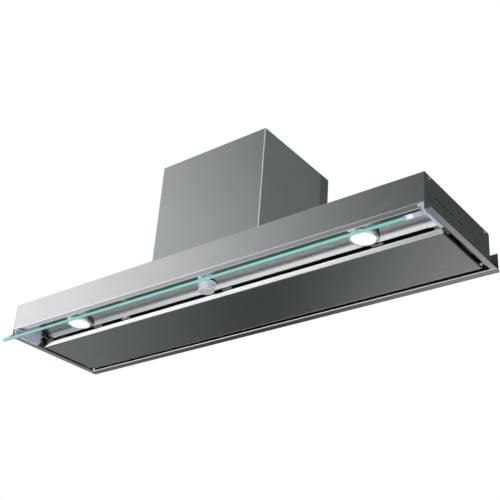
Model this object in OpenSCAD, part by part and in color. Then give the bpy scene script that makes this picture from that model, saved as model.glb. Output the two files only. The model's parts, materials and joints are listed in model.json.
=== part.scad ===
// Built-in kitchen range hood with a T-shaped body, a swing-out glass visor and a perimeter suction panel.
// Working coordinates: x = 0 on the centre line, y = 0 on the front face, z = 0 under the side flanges.
// The whole part is then moved so that the centre of the duct outlet's seat is the origin.

/* [Body] */
// Width of the canopy body
body_w = 1174; // [900:1:1300]
// Depth of the canopy body
body_d = 282; // [270:1:320]
// Height of the canopy body
body_h = 84; // [80:1:100]
// Thickness of the folded steel sheet
sheet_t = 1; // [0.8:0.1:1.2]
// Inside radius of a sheet bend
bend_r = 0.8; // [0.5:0.1:1.2]
// Gap left between pieces that fit face to face
fit_gap = 0.3; // [0.25:0.05:0.4]
// Height of the front panel's lower edge above the flanges
hem_z = 17; // [16:0.5:19]
// Depth of the hem folded back under the front panel
hem_d = 18; // [14:0.5:20]
// Height of the lip at the back of the hem
hem_lip = 6; // [4:0.5:8]
// Width of the flange that covers the cabinet's cut edge
flange_w = 13; // [8:1:20]
// Depth of the strip behind the body, up to the wall
filler_d = 20; // [16:1:30]
// Height of the strip's upstand on the wall
filler_lip = 46; // [20:1:60]
// Corner radius of the strip
filler_corner_r = 9; // [4:1:12]
// Depth of the front panel's fold on top
top_fold_d = 15; // [10:1:20]
// Height of the top plate's side folds
plate_fold_h = 9; // [7:1:12]

/* [Side panel cut-outs] */
// Distance from the front face to the first slot
slot_row_y = 46; // [40:1:60]
// Height of the slot row
slot_row_z = 45; // [40:1:50]
// Pitch of the slots
slot_pitch = 15.5; // [12:0.5:18]
// Length of a slot
slot_len = 7; // [5:0.5:9]
// Width of a slot
slot_wid = 4; // [3:0.5:5]
// Radius of the cabinet screw holes
cabinet_hole_r = 2.25; // [2:0.05:2.5]
// Distance from the front face to the first cabinet screw hole
cabinet_hole_y = 98; // [90:1:110]
// Distance between the two cabinet screw holes
cabinet_hole_pitch = 144; // [120:1:150]
// Height of the cabinet screw holes
cabinet_hole_z = 66; // [60:1:72]
// Distance from the front face to the small hole cluster
cluster_y = 213; // [205:1:220]
// Radius of the holes in the cluster
cluster_r = 2.2; // [1.5:0.1:2.6]
// Width of the slit round a knock-out
slit_w = 1.2; // [0.6:0.1:1.4]
// Width of the square knock-out
square_w = 17; // [12:1:20]
// Radius of the round knock-out
round_r = 8; // [6:0.5:9]

/* [Suction panel] */
// Distance from the front face to the panel
panel_y = 96; // [92:1:100]
// Gap between the panel and the sides of the body
panel_side_gap = 11; // [10:0.5:14]
// Gap between the panel and the back of the opening
panel_rear_gap = 16; // [13:0.5:20]
// Height of the panel's folded walls
panel_h = 11.5; // [10:0.5:13]
// How far the panel hangs below the flanges
panel_drop = 0.5; // [0:0.1:1]
// Bend radius of the panel's lower edges
panel_r = 1.6; // [1.2:0.1:2]
// Thickness of the pressed-fibre board in the panel
board_t = 5; // [3:0.5:6]
// Distance from the panel's back edge to the hinge axis
hinge_back = 8; // [7:0.5:9]
// Height of the hinge axis
hinge_z = 6; // [5.5:0.25:6.5]
// Radius of the hinge pins
hinge_pin_r = 2.5; // [2:0.1:3]
// Radial running clearance of the hinge pins
pin_play = 0.05; // [0.03:0.01:0.08]

/* [Light tray] */
// Width of each end piece of the tray
tray_end_w = 37; // [30:1:45]
// Height of the tray's front edge
tray_front_z = 17.6; // [17:0.1:19]
// Distance from the front face to the tray's back edge
tray_rear_y = 103; // [101:0.5:106]
// Height of the tray's back edge
tray_rear_z = 24; // [23:0.5:26]
// Rise of the tray's hollow curve
tray_rise = 7; // [3:0.5:9]
// Height of the tray's back flange
tray_flange_h = 30; // [24:1:34]
// Length of a spacer tab on the slot's edge
tab_len = 14; // [8:1:20]
// Drop of a spacer tab below the slot's edge
tab_drop = 3; // [2:0.5:4]

/* [Lamps] */
// Distance of each lamp from the side of the body
lamp_inset = 173; // [120:1:230]
// Distance from the front face to the lamps
lamp_y = 64.5; // [58:0.5:66]
// Radius of the lamp's bezel
bezel_r = 32.5; // [28:0.5:34]
// Thickness of the bezel's rim
bezel_t = 1.8; // [1.2:0.1:2.4]
// Height of the bezel below the tray
bezel_h = 5; // [4:0.5:7]
// Radius of the lens
lens_r = 25.5; // [20:0.5:27]
// Radius of the lamp's body above the tray
lamp_body_r = 28; // [24:0.5:29]
// Height of the lamp's body
lamp_body_h = 26; // [18:1:34]

/* [Selector knob] */
// Distance from the front face to the knob
knob_y = 66; // [60:0.5:68]
// Radius of the knob
knob_r = 18; // [14:0.5:20]
// Height of the knob
knob_h = 18.5; // [12:0.5:19]
// Radius of the collar behind the knob
collar_r = 21.5; // [20.5:0.5:23]
// Thickness of the collar
collar_t = 2; // [1.5:0.1:2.5]
// Radius of the knob's shaft
shaft_r = 3; // [2.5:0.1:3.5]

/* [Glass visor] */
// Distance from the front face to the visor's pivot
pivot_y = 12; // [11:0.5:14]
// Height of the visor's pivot
pivot_z = 1; // [0:0.1:1.2]
// Reach of the visor from its pivot to the glass edge
visor_reach = 57.5; // [45:0.5:60]
// Angle of the open visor below the horizontal
visor_tilt = 34.5; // [20:0.5:45]
// Thickness of the glass
glass_t = 6; // [4:0.5:6]
// Distance from the pivot to the back edge of the glass
glass_back = 9; // [8:0.5:12]
// Thickness of an arm
arm_t = 7; // [5:0.5:8]
// Width of the clip that grips the end of the glass
clip_w = 7; // [5:0.5:9]
// Radius of an arm's eye
eye_r = 5; // [4.5:0.1:5.5]
// Radius of the visor's pivot pins
pivot_pin_r = 2.5; // [2:0.1:3]
// Thickness of the moulded cheeks at the ends of the recess
cheek_t = 7.7; // [6:0.1:9]
// Distance from the end of a cheek to the panel
cheek_end = 15; // [10:0.5:20]

/* [Filters] */
// Height of the filter deck
deck_z = 40; // [38:0.5:44]
// Width of one filter
filter_w = 268; // [220:1:280]
// Thickness of a filter
filter_t = 9; // [7:0.5:10]
// Gap between the two filters
filter_gap = 12; // [8:1:20]
// Width of a filter's frame
filter_rim = 11; // [8:0.5:14]
// Number of folds in the filter's mesh
mesh_folds = 24; // [10:1:30]
// Travel of a filter latch
latch_travel = 5; // [4:0.5:6]

/* [Blower box] */
// Width of the blower box
box_w = 318; // [290:1:340]
// Distance from the front face to the box
box_y = 40; // [36:1:46]
// Height of the box's top above the flanges
box_top_z = 376; // [350:1:420]
// Depth of the part of the box behind the seam
box_rear_d = 37; // [30:1:45]
// Width of the folded edges inside the box
box_fold = 12; // [9:1:15]

/* [Blower] */
// Radius of the impeller
impeller_r = 65; // [55:0.5:67]
// Half the width of the impeller
impeller_half = 56; // [45:0.5:58]
// Number of blades
blades = 36; // [18:1:40]
// Depth of a blade
blade_depth = 11; // [9:0.5:13]
// Thickness of a blade
blade_t = 1; // [0.8:0.1:1.4]
// Largest radius of the scroll, inside
scroll_end_r = 103; // [100:0.5:104]
// Running gap between the impeller and the scroll's tongue
tongue_gap = 7; // [5:0.5:9]
// Wall of the moulded scroll
scroll_wall = 2; // [1.6:0.1:2.4]
// Distance from the front of the box to the impeller's shaft
blower_y = 90; // [89.5:0.5:93]
// Height of the impeller's shaft above the flanges
blower_z = 205; // [200:1:215]
// Radius of the scroll's inlets
inlet_r = 52; // [46:0.5:54]
// Radius of the motor
motor_r = 40; // [34:0.5:42]
// Radius of the motor's shaft
motor_shaft_r = 4; // [3:0.5:5]

/* [Duct outlet] */
// Outer radius of the duct collar
duct_r = 74.5; // [70:0.5:76]
// Wall of the duct collar
duct_wall = 2.5; // [2:0.1:3]
// Height of the duct collar above its flange
duct_h = 42.5; // [36:0.5:46]
// Radius of the collar's flange
duct_flange_r = 88; // [84:0.5:92]
// Thickness of the collar's flange
duct_flange_t = 2.5; // [2:0.1:3]
// Thickness of a damper flap
flap_t = 1.4; // [1:0.1:1.8]
// Radius of the damper pin
flap_pin_r = 1.5; // [1.2:0.1:2]

/* [Control box] */
// Width of the control box on the tray
control_w = 130; // [100:1:150]
// Depth of the control box
control_d = 60; // [50:1:70]
// Height of the control box
control_h = 34; // [28:1:40]
// Wall of the control box
control_wall = 2; // [1.6:0.1:2.5]

/* [Fastenings] */
// Radius of the cable gland's nut
gland_r = 10; // [8:0.5:12]
// Height of the cable gland
gland_h = 10; // [8:0.5:14]
// Radius of the cable gland's bore
gland_bore_r = 3.5; // [3:0.1:4.5]
// Radius of a screw head
head_r = 3.4; // [2.5:0.1:4]
// Height of a screw head
head_h = 1.8; // [1.2:0.1:2.4]
// Radius of a screw's shank
shank_r = 1.7; // [1.4:0.1:2]
// Length of a screw's shank
shank_l = 4; // [3:0.5:6]

/* [Hidden] */
$fn = 64;
bend_steps = 4;
arc_steps = 24;
overrun = 1;
small_turn = 12;

// Derived places of the body
half_w = body_w / 2;
inner_x = half_w - sheet_t;
outer_x = half_w + flange_w;
wall_y = body_d + filler_d;
back_in_y = body_d - sheet_t;
plate_top_z = body_h - sheet_t - fit_gap;
filler_y = body_d - 3 * sheet_t;
opening_rear_y = filler_y;

// Derived places of the suction panel
panel_x = inner_x - panel_side_gap;
panel_back_y = opening_rear_y - panel_rear_gap;
panel_z0 = -panel_drop;
panel_top_z = panel_z0 + panel_h;
hinge_y = panel_back_y - hinge_back;
hinge_ear_t = 3 * sheet_t;
striker_z = panel_top_z - sheet_t;
catch_x = panel_x - tray_end_w * 3 / 5;
catch_d = tray_rear_y / 7;

// Derived places of the recess and the tray
cheek_x = inner_x - fit_gap - cheek_t;
tray_front_y = hem_d + fit_gap;
tray_end_x = cheek_x - 1 * fit_gap;
tray_half = tray_end_x - tray_end_w;
arm_x = cheek_x - fit_gap;
clip_x = arm_x - arm_t;
glass_half = clip_x - clip_w / 4;
tab_shares = [-0.72, -0.54, 0.05, 0.78];
tray_peak_z = max([for (y = [tray_front_y:sheet_t:tray_rear_y]) tray_arc_z(y)]);
cheek_end_y = panel_y - cheek_end;
foot_h = 8 * sheet_t;
bead_r = sheet_t * 9 / 10;

// Derived places of the lamps and the knob
lamp_x = half_w - lamp_inset;
bezel_top_z = tray_arc_z(lamp_y - bezel_r) - fit_gap;
lens_low = bezel_t / 2 - bezel_h;
tray_hole_r = lamp_body_r + 2 * fit_gap;
collar_top_z = tray_arc_z(knob_y - collar_r) - fit_gap;
collar_z = collar_top_z - collar_t;
knob_z = collar_z - fit_gap - knob_h;
neck_r = 3 * shaft_r;
switch_z = tray_peak_z + 2 * sheet_t;
switch_h = 18 * sheet_t;
switch_half = 14 * sheet_t;

// Derived places of the control box
control_x0 = 6 * switch_half;
control_y0 = hem_d + 8 * sheet_t;
control_z = tray_peak_z + sheet_t + fit_gap;

// Derived places of the filters
deck_y = tray_rear_y + fit_gap;
deck_x = inner_x - sheet_t - 2 * fit_gap;
filter_y0 = deck_y + filter_rim;
filter_y1 = back_in_y - filter_rim;
filter_z1 = deck_z - fit_gap;
filter_z0 = filter_z1 - filter_t;
latch_w = 4 * filter_rim;
latch_t = filter_t / 2;

// Derived places of the blower box
box_half = box_w / 2;
box_inner = box_half - sheet_t;
box_back_y = wall_y;
seam_y = box_back_y - box_rear_d;
box_z = plate_top_z;
cover_top_z = box_top_z - sheet_t - fit_gap;
duct_y = (box_y + box_back_y) / 2;
seat_top_z = box_top_z + duct_flange_t;
intake_x = box_inner - 2 * box_fold;
gland_x = box_half - 2 * box_fold;
gland_y = box_back_y - 3 * box_fold;
intake_y0 = box_y + 3 * box_fold;
intake_y1 = back_in_y - box_fold;

// Derived places of the blower
shaft_y = box_y + blower_y;
tongue_r = impeller_r + tongue_gap;
tongue_angle = 55;
scroll_half = impeller_half + tongue_gap;
spiral_sweep = 360 - tongue_angle;
outlet_y1 = shaft_y + scroll_end_r;
outlet_y0 = 2 * duct_y - outlet_y1;
outlet_z = box_top_z - sheet_t - fit_gap;
motor_half = impeller_half - 2 * sheet_t;

// Derived places of the duct collar
duct_in_r = duct_r - duct_wall;
ledge_z = 3 * duct_wall;
flap_z = ledge_z + fit_gap;
flap_r = duct_in_r - 4 * fit_gap;
flap_eye_r = flap_pin_r + flap_t;
flap_axis_z = flap_z + flap_eye_r + pin_play;
ledge_w = duct_wall;

// Colours of the finishes
steel_colour = [0.62, 0.64, 0.64];
dark_steel_colour = [0.35, 0.37, 0.37];
plastic_colour = [0.68, 0.71, 0.78];
white_colour = [0.93, 0.94, 0.95];
black_colour = [0.08, 0.08, 0.09];
glass_colour = [0.52, 0.83, 0.81, 0.6];
zinc_colour = [0.72, 0.73, 0.74];

// Vector helpers
function unit(v) = v / norm(v);
function turned(v) = [-v[1], v[0]];
function turn_angle(u, w) = atan2(u[0] * w[1] - u[1] * w[0], u * w);
function heading(v) = atan2(v[1], v[0]);
function reversed(list) = [for (i = [len(list) - 1:-1:0]) list[i]];
function flat(lists) = [for (l = lists) for (p = l) p];

// Points of one bend, on the side of the sheet that the share picks: 0 is the path, 1 is the far face
function bend_points(a, b, c, t, r, share) =
    let (
        u = unit(b - a),
        w = unit(c - b),
        turn = turn_angle(u, w),
        s = turn > 0 ? 1 : -1,
        path_r = turn > 0 ? r + t : r,
        side_r = share == 0 ? path_r : (turn > 0 ? r : r + t),
        mitre = (turned(u) + turned(w)) / (1 + u * w),
        centre = b + s * path_r * mitre,
        start = heading(turned(u))
    )
    abs(turn) < small_turn
        ? [b + share * t * mitre]
        : [for (k = [0:bend_steps])
            let (h = start + turn * k / bend_steps)
            centre - s * side_r * [cos(h), sin(h)]];

// Outline of a sheet of thickness t, folded along a path and lying on the path's left
function folded(path, t, r) =
    let (
        n = len(path) - 1,
        first = t * turned(unit(path[1] - path[0])),
        last = t * turned(unit(path[n] - path[n - 1])),
        near = flat([for (i = [1:n - 1]) bend_points(path[i - 1], path[i], path[i + 1], t, r, 0)]),
        far = flat([for (i = [1:n - 1]) bend_points(path[i - 1], path[i], path[i + 1], t, r, 1)])
    )
    concat([path[0]], near, [path[n]], [path[n] + last], reversed(far), [path[0] + first]);

// Points of an arc from a to b that rises by the given amount on the left
function chord_arc(a, b, rise, n) =
    let (
        l = norm(b - a),
        r = (l * l / 4 + rise * rise) / (2 * rise),
        u = unit(b - a),
        v = turned(u),
        c = (a + b) / 2 - v * (r - rise),
        half = asin(l / (2 * r))
    )
    [for (k = [0:n]) let (h = half * (2 * k / n - 1)) c + r * (u * sin(h) + v * cos(h))];

// Height of the tray's lower face at a distance from the front
function tray_arc_z(y) =
    let (
        a = [hem_d + fit_gap, tray_front_z],
        b = [tray_rear_y, tray_rear_z],
        l = norm(b - a),
        r = (l * l / 4 + tray_rise * tray_rise) / (2 * tray_rise),
        u = unit(b - a),
        c = (a + b) / 2 - turned(u) * (r - tray_rise)
    )
    c[1] + sqrt(r * r - (y - c[0]) * (y - c[0]));

// Inside radius of the scroll at an angle past the tongue
function scroll_r(a) = tongue_r + (scroll_end_r - tongue_r) * a / spiral_sweep;
function scroll_point(a, extra) =
    [cos(tongue_angle + a), sin(tongue_angle + a)] * (scroll_r(a) + extra);

// Outline of the air space in the scroll, grown by a wall
function scroll_outline(extra) = concat(
    [for (k = [0:arc_steps]) scroll_point(spiral_sweep * k / arc_steps, extra)],
    [[scroll_end_r + extra, outlet_z - blower_z], [outlet_y0 - shaft_y - extra, outlet_z - blower_z]]
);

// Shape helpers
module block(lo, hi) {
    translate(lo)
        cube(hi - lo);
}

module along_x(x0, x1) {
    translate([x0, 0, 0])
        rotate([90, 0, 90])
            linear_extrude(x1 - x0)
                children();
}

module along_y(y0, y1) {
    translate([0, y1, 0])
        rotate([90, 0, 0])
            linear_extrude(y1 - y0)
                children();
}

module rod_x(x0, x1, y, z, r) {
    translate([x0, y, z])
        rotate([0, 90, 0])
            cylinder(h = x1 - x0, r = r);
}

module rod_y(x, y0, y1, z, r) {
    translate([x, y1, z])
        rotate([90, 0, 0])
            cylinder(h = y1 - y0, r = r);
}

module on_left(left) {
    if (left)
        mirror([1, 0, 0])
            children();
    else
        children();
}

module placed() {
    translate([0, -duct_y, -seat_top_z])
        children();
}

module screw_up(place) {
    translate(place) {
        cylinder(h = head_h, r1 = head_r, r2 = head_r / 2);
        translate([0, 0, -shank_l])
            cylinder(h = shank_l + head_h / 2, r = shank_r);
    }
}

// Folded front plate with its hem and top fold
module front_panel() {
    path = [
        [top_fold_d, body_h - sheet_t], [sheet_t, body_h - sheet_t], [sheet_t, hem_z + sheet_t],
        [hem_d - sheet_t, hem_z + sheet_t], [hem_d - sheet_t, hem_z + hem_lip],
    ];
    color(steel_colour) placed()
        along_x(-inner_x, inner_x)
            polygon(folded(reversed(path), sheet_t, bend_r));
}

// Slot with round ends, cut through a side wall
module side_slot(y, z) {
    half = (slot_len - slot_wid) / 2;
    for (dy = [-half, half])
        rod_x(inner_x - overrun, half_w + overrun, y + dy, z, slot_wid / 2);
    block(
        [inner_x - overrun, y - half, z - slot_wid / 2],
        [half_w + overrun, y + half, z + slot_wid / 2]
    );
}

module side_hole(y, z, r) {
    rod_x(inner_x - overrun, half_w + overrun, y, z, r);
}

// Knock-out: a slit in two halves, held by two bridges
module round_knock_out(y, z, r) {
    difference() {
        side_hole(y, z, r);
        side_hole(y, z, r - slit_w);
        block(
            [inner_x - 2 * overrun, y - slit_w, z - r - overrun],
            [half_w + 2 * overrun, y + slit_w, z + r + overrun]
        );
    }
}

module square_knock_out(y, z, w, h) {
    difference() {
        block([inner_x - overrun, y - w / 2, z - h / 2], [half_w + overrun, y + w / 2, z + h / 2]);
        block(
            [inner_x - 2 * overrun, y - w / 2 + slit_w, z - h / 2 + slit_w],
            [half_w + 2 * overrun, y + w / 2 - slit_w, z + h / 2 - slit_w]
        );
        block(
            [inner_x - 2 * overrun, y - slit_w, z - h / 2 - overrun],
            [half_w + 2 * overrun, y + slit_w, z + h / 2 + overrun]
        );
    }
}

// Side wall with the cabinet flange, slots, screw holes and knock-outs
module side_panel(left) {
    path = [[inner_x, body_h], [inner_x, 0], [outer_x, 0]];
    cluster_row_z = slot_row_z - slot_wid;
    cluster_low_z = cluster_row_z - 3 * slot_wid;
    color(steel_colour) placed() on_left(left)
        difference() {
            along_y(0, filler_y - fit_gap)
                polygon(folded(path, sheet_t, bend_r));
            for (i = [0, 1, 2, 3, 4, 6, 7])
                side_slot(slot_row_y + i * slot_pitch, slot_row_z);
            for (i = [0, 1])
                side_hole(cabinet_hole_y + i * cabinet_hole_pitch, cabinet_hole_z, cabinet_hole_r);
            for (i = [0, 1, 2])
                side_hole(cluster_y + i * slot_pitch, cluster_row_z, cluster_r);
            for (i = [0, 1])
                side_hole(cluster_y + i * slot_pitch, cluster_low_z, cluster_r);
            round_knock_out(slot_row_y + slot_pitch * 5 / 2, slot_row_z - round_r - slot_wid, round_r);
            square_knock_out(
                slot_row_y - square_w * 3 / 2, slot_row_z - square_w / 2, square_w, square_w * 3 / 4
            );
            for (y = body_screw_ys())
                side_hole(y, body_screw_z(), shank_r + fit_gap);
        }
}

function body_screw_ys() = [21 * sheet_t, body_d - 24 * sheet_t];
function body_screw_z() = plate_top_z - plate_fold_h / 2;

// Back wall with a fold on top
module back_panel() {
    path = [
        [back_in_y - top_fold_d, body_h - sheet_t], [back_in_y, body_h - sheet_t],
        [back_in_y, sheet_t + fit_gap],
    ];
    color(steel_colour) placed()
        along_x(-inner_x + fit_gap, inner_x - fit_gap)
            polygon(folded(path, sheet_t, bend_r));
}

// Top plate with folded sides and the air opening to the blower
module top_plate() {
    edge = inner_x - fit_gap;
    plate_z = plate_top_z - sheet_t;
    path = [
        [-edge + sheet_t, plate_top_z - plate_fold_h], [-edge + sheet_t, plate_z],
        [edge - sheet_t, plate_z], [edge - sheet_t, plate_top_z - plate_fold_h],
    ];
    color(steel_colour) placed()
        difference() {
            along_y(sheet_t + fit_gap, back_in_y - fit_gap)
                polygon(folded(path, sheet_t, bend_r));
            block(
                [-intake_x, intake_y0, plate_z - overrun],
                [intake_x, intake_y1, plate_top_z + overrun]
            );
            for (y = body_screw_ys())
                for (side = [-1, 1])
                    rod_x(
                        side * edge - 2 * sheet_t, side * edge + 2 * sheet_t, y, body_screw_z(),
                        shank_r + fit_gap / 2
                    );
        }
}

// Strip that closes the gap to the wall, with a rolled front edge and an upstand
module rear_filler() {
    path = [[filler_y, 0], [wall_y, 0], [wall_y, filler_lip]];
    color(steel_colour) placed()
        intersection() {
            union() {
                along_x(-outer_x, outer_x)
                    polygon(folded(path, sheet_t, 3 * bend_r));
                rod_x(-outer_x, outer_x, filler_y + bead_r, bead_r, bead_r);
            }
            translate([0, 0, -overrun])
                linear_extrude(filler_lip + 2 * overrun)
                    polygon(flat([
                        [[-outer_x, filler_y - overrun], [outer_x, filler_y - overrun]],
                        [for (k = [0:bend_steps])
                            let (h = 90 * k / bend_steps)
                            [outer_x - filler_corner_r, wall_y - filler_corner_r]
                                + filler_corner_r * [cos(h), sin(h)]],
                        [for (k = [0:bend_steps])
                            let (h = 90 + 90 * k / bend_steps)
                            [-outer_x + filler_corner_r, wall_y - filler_corner_r]
                                + filler_corner_r * [cos(h), sin(h)]],
                    ]));
        }
}

function tray_curve() = chord_arc(
    [tray_front_y, tray_front_z], [tray_rear_y, tray_rear_z], tray_rise, arc_steps / 2
);

module lamp_hole(side) {
    translate([side * lamp_x, lamp_y, tray_front_z])
        cylinder(h = tray_flange_h, r = tray_hole_r);
}

// Hollow reflector tray between the front panel and the suction slot
module light_tray() {
    path = concat(
        [[tray_front_y, tray_front_z + hem_lip]], tray_curve(),
        [[tray_rear_y, tray_rear_z + tray_flange_h]]
    );
    color(steel_colour) placed() {
        difference() {
            along_x(-tray_half, tray_half)
                polygon(folded(path, sheet_t, bend_r));
            lamp_hole(-1);
            lamp_hole(1);
            translate([0, knob_y, tray_front_z])
                cylinder(h = tray_flange_h, r = neck_r + fit_gap);
        }
        for (share = tab_shares)
            block(
                [share * tray_half - tab_len / 2, tray_rear_y - sheet_t, tray_rear_z - tab_drop],
                [share * tray_half + tab_len / 2, tray_rear_y, tray_rear_z + 2 * sheet_t]
            );
    }
}

// End piece of the tray, folded down to close the end of the slot
module tray_end(left) {
    path = concat([[tray_front_y, tray_front_z + hem_lip]], tray_curve());
    color(steel_colour) placed() on_left(left) {
        along_x(tray_half + fit_gap, tray_end_x)
            polygon(folded(path, sheet_t, bend_r));
        block(
            [tray_half + fit_gap, tray_rear_y - sheet_t, tray_rear_z],
            [tray_end_x, tray_rear_y, tray_rear_z + tray_flange_h / 2]
        );
        block(
            [catch_x, tray_rear_y - sheet_t, panel_top_z + sheet_t],
            [tray_end_x, tray_rear_y, tray_rear_z + sheet_t]
        );
    }
}

// Moulded cheek at the end of the recess, with the visor's pivot bore
module visor_cheek(left) {
    low_z = fit_gap;
    cap_z = hem_z - fit_gap;
    nose_y = pivot_y + eye_r;
    outline = [
        [nose_y, low_z], [cheek_end_y - 3 * sheet_t, low_z], [cheek_end_y, low_z + 4 * sheet_t],
        [cheek_end_y, tray_peak_z], [hem_d + 2 * fit_gap, tray_peak_z], [hem_d + 2 * fit_gap, cap_z],
        [sheet_t + bend_r, cap_z], [sheet_t + bend_r, cap_z - hem_lip],
        [pivot_y - eye_r, pivot_z],
    ];
    color(plastic_colour) placed() on_left(left)
        difference() {
            union() {
                along_x(cheek_x, inner_x - fit_gap)
                    polygon(outline);
                rod_x(cheek_x, inner_x - fit_gap, pivot_y, pivot_z, eye_r);
                block(
                    [clip_x, sheet_t + bend_r, cap_z - hem_lip],
                    [cheek_x + overrun, hem_d - fit_gap, cap_z]
                );
            }
            rod_x(
                cheek_x - overrun, cheek_x + cheek_t - sheet_t, pivot_y, pivot_z,
                pivot_pin_r + pin_play
            );
        }
}

module at_lamp(left, z) {
    placed() on_left(left)
        translate([lamp_x, lamp_y, z])
            children();
}

// Round trim of a lamp, a ring with sloped sides
module lamp_bezel(left) {
    color(zinc_colour) at_lamp(left, bezel_top_z)
        rotate_extrude()
            polygon([
                [lens_r + fit_gap, 0], [lens_r + fit_gap, bezel_t - bezel_h],
                [lens_r + bezel_t, -bezel_h], [bezel_r - 3 * bezel_t / 2, -bezel_h],
                [bezel_r, -bezel_h / 3], [bezel_r, 0],
            ]);
}

module lamp_lens(left) {
    color(white_colour) at_lamp(left, bezel_top_z)
        rotate_extrude()
            polygon([
                [0, lens_low + bezel_t], [lens_r - bezel_t, lens_low + bezel_t],
                [lens_r - bezel_t, bezel_t], [lens_r, bezel_t], [lens_r, lens_low + bezel_t / 2],
                [lens_r - bezel_t, lens_low], [0, lens_low],
            ]);
}

// Body of a lamp with cooling fins on its back
module lamp_body(left) {
    base_z = bezel_t + fit_gap;
    fins = 5;
    fin_pitch = 2 * lamp_body_r / (fins + 1);
    color(dark_steel_colour) at_lamp(left, bezel_top_z)
        difference() {
            union() {
                translate([0, 0, base_z])
                    cylinder(h = lamp_body_h - base_z, r = lamp_body_r - bezel_t);
                difference() {
                    translate([0, 0, fit_gap / 2])
                        cylinder(h = lamp_body_h / 2, r = lamp_body_r);
                    translate([0, 0, -overrun])
                        cylinder(h = overrun + base_z + fit_gap, r = lens_r + fit_gap);
                }
            }
            for (i = [1:fins])
                block(
                    [-lamp_body_r + i * fin_pitch - bezel_t, -lamp_body_r, lamp_body_h * 2 / 3],
                    [-lamp_body_r + i * fin_pitch + bezel_t, lamp_body_r, lamp_body_h + overrun]
                );
        }
}

module at_knob(z) {
    placed()
        translate([0, knob_y, z])
            children();
}

// Turned knob with a rounded lower edge and a pointer groove
module knob() {
    edge = bezel_t;
    color(plastic_colour) at_knob(knob_z)
        difference() {
            rotate_extrude()
                polygon(concat(
                    [[0, 0]],
                    [for (k = [0:bend_steps])
                        let (h = 90 * k / bend_steps)
                        [knob_r - edge + edge * sin(h), edge - edge * cos(h)]],
                    [[knob_r, knob_h], [knob_r - 2 * edge, knob_h], [knob_r - 2 * edge, knob_h / 2],
                        [2 * shaft_r, knob_h / 2], [2 * shaft_r, knob_h], [shaft_r, knob_h],
                        [shaft_r, 2 * edge], [0, 2 * edge]]
                ));
            block([-edge / 2, -knob_r - overrun, -overrun], [edge / 2, -knob_r / 2, edge / 3]);
        }
}

module knob_shaft() {
    start = 2 * bezel_t + fit_gap;
    color(zinc_colour) at_knob(knob_z + start)
        cylinder(h = switch_z + switch_h / 2 - knob_z - start, r = shaft_r - fit_gap / 10);
}

// Fixed collar with a threaded neck through the tray
module knob_collar() {
    color(plastic_colour) at_knob(collar_z)
        difference() {
            union() {
                cylinder(h = collar_t, r = collar_r);
                cylinder(h = switch_z - collar_z - fit_gap, r = neck_r);
            }
            translate([0, 0, -overrun])
                cylinder(h = switch_z - collar_z + 2 * overrun, r = shaft_r + pin_play);
        }
}

// Body of the rotary switch
module rotary_switch() {
    color(black_colour) at_knob(switch_z)
        difference() {
            union() {
                block([-switch_half, -switch_half, 0], [switch_half, switch_half, switch_h]);
                for (x = [-switch_half * 2 / 3, 0, switch_half * 2 / 3])
                    block(
                        [x - sheet_t, -switch_half / 2, switch_h - overrun],
                        [x + sheet_t, switch_half / 2, switch_h + 4 * sheet_t]
                    );
            }
            translate([0, 0, -overrun])
                cylinder(h = switch_h * 2 / 3 + overrun, r = shaft_r + pin_play);
        }
}

module at_visor(left) {
    placed()
        translate([0, pivot_y, pivot_z])
            rotate([visor_tilt, 0, 0])
                on_left(left)
                    children();
}

// Tempered glass strip with polished round edges
module visor_glass() {
    edge = glass_t / 2;
    outline = concat(
        [for (k = [0:2 * bend_steps])
            let (h = 180 * k / (2 * bend_steps))
            [-visor_reach + edge / 2 - edge / 2 * sin(h), edge * cos(h)]],
        [[-glass_back, -edge], [-glass_back, edge]]
    );
    color(glass_colour) at_visor(false)
        along_x(-glass_half, glass_half)
            polygon(outline);
}

// Swinging arm with an eye, a pivot pin and a tapered bar
module visor_arm(left) {
    bar = glass_t / 2 + 4 * fit_gap;
    color(plastic_colour) at_visor(left) {
        along_x(clip_x, arm_x)
            polygon([
                [0, -eye_r], [0, eye_r], [-visor_reach / 3, bar], [-visor_reach, bar],
                [-visor_reach, -bar], [-visor_reach / 3, -bar],
            ]);
        rod_x(clip_x, arm_x, 0, 0, eye_r);
        rod_x(arm_x - overrun, cheek_x + cheek_t - 2 * sheet_t, 0, 0, pivot_pin_r);
    }
}

// Moulded clip that grips the end of the glass
module glass_clip(left) {
    grip = glass_t / 2;
    lip = grip + 2 * fit_gap + sheet_t / 2;
    color(white_colour) at_visor(left)
        difference() {
            block(
                [clip_x - clip_w, -visor_reach - sheet_t / 2, -lip],
                [clip_x - fit_gap / 6, -glass_back, lip]
            );
            block(
                [clip_x - clip_w - overrun, -visor_reach - overrun, -grip - fit_gap / 6],
                [glass_half + fit_gap / 6, -glass_back + overrun, grip + fit_gap / 6]
            );
        }
}

// Solid with two rounded lower edges along x, the other two rounded along y
module pan_form(inset) {
    x = panel_x - inset;
    y0 = panel_y + inset;
    y1 = panel_back_y - inset;
    z0 = panel_z0 + inset;
    z1 = panel_top_z + (inset > 0 ? overrun : 0);
    r = panel_r + sheet_t - inset;
    arc = [for (k = [0:bend_steps]) 90 * k / bend_steps];
    intersection() {
        along_x(-x, x)
            polygon(concat(
                [[y1, z1], [y0, z1]],
                [for (h = arc) [y0 + r - r * cos(h), z0 + r - r * sin(h)]],
                [for (h = arc) [y1 - r + r * sin(h), z0 + r - r * cos(h)]]
            ));
        along_y(y0, y1)
            polygon(concat(
                [[x, z1], [-x, z1]],
                [for (h = arc) [-x + r - r * cos(h), z0 + r - r * sin(h)]],
                [for (h = arc) [x - r + r * sin(h), z0 + r - r * cos(h)]]
            ));
    }
}

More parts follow.
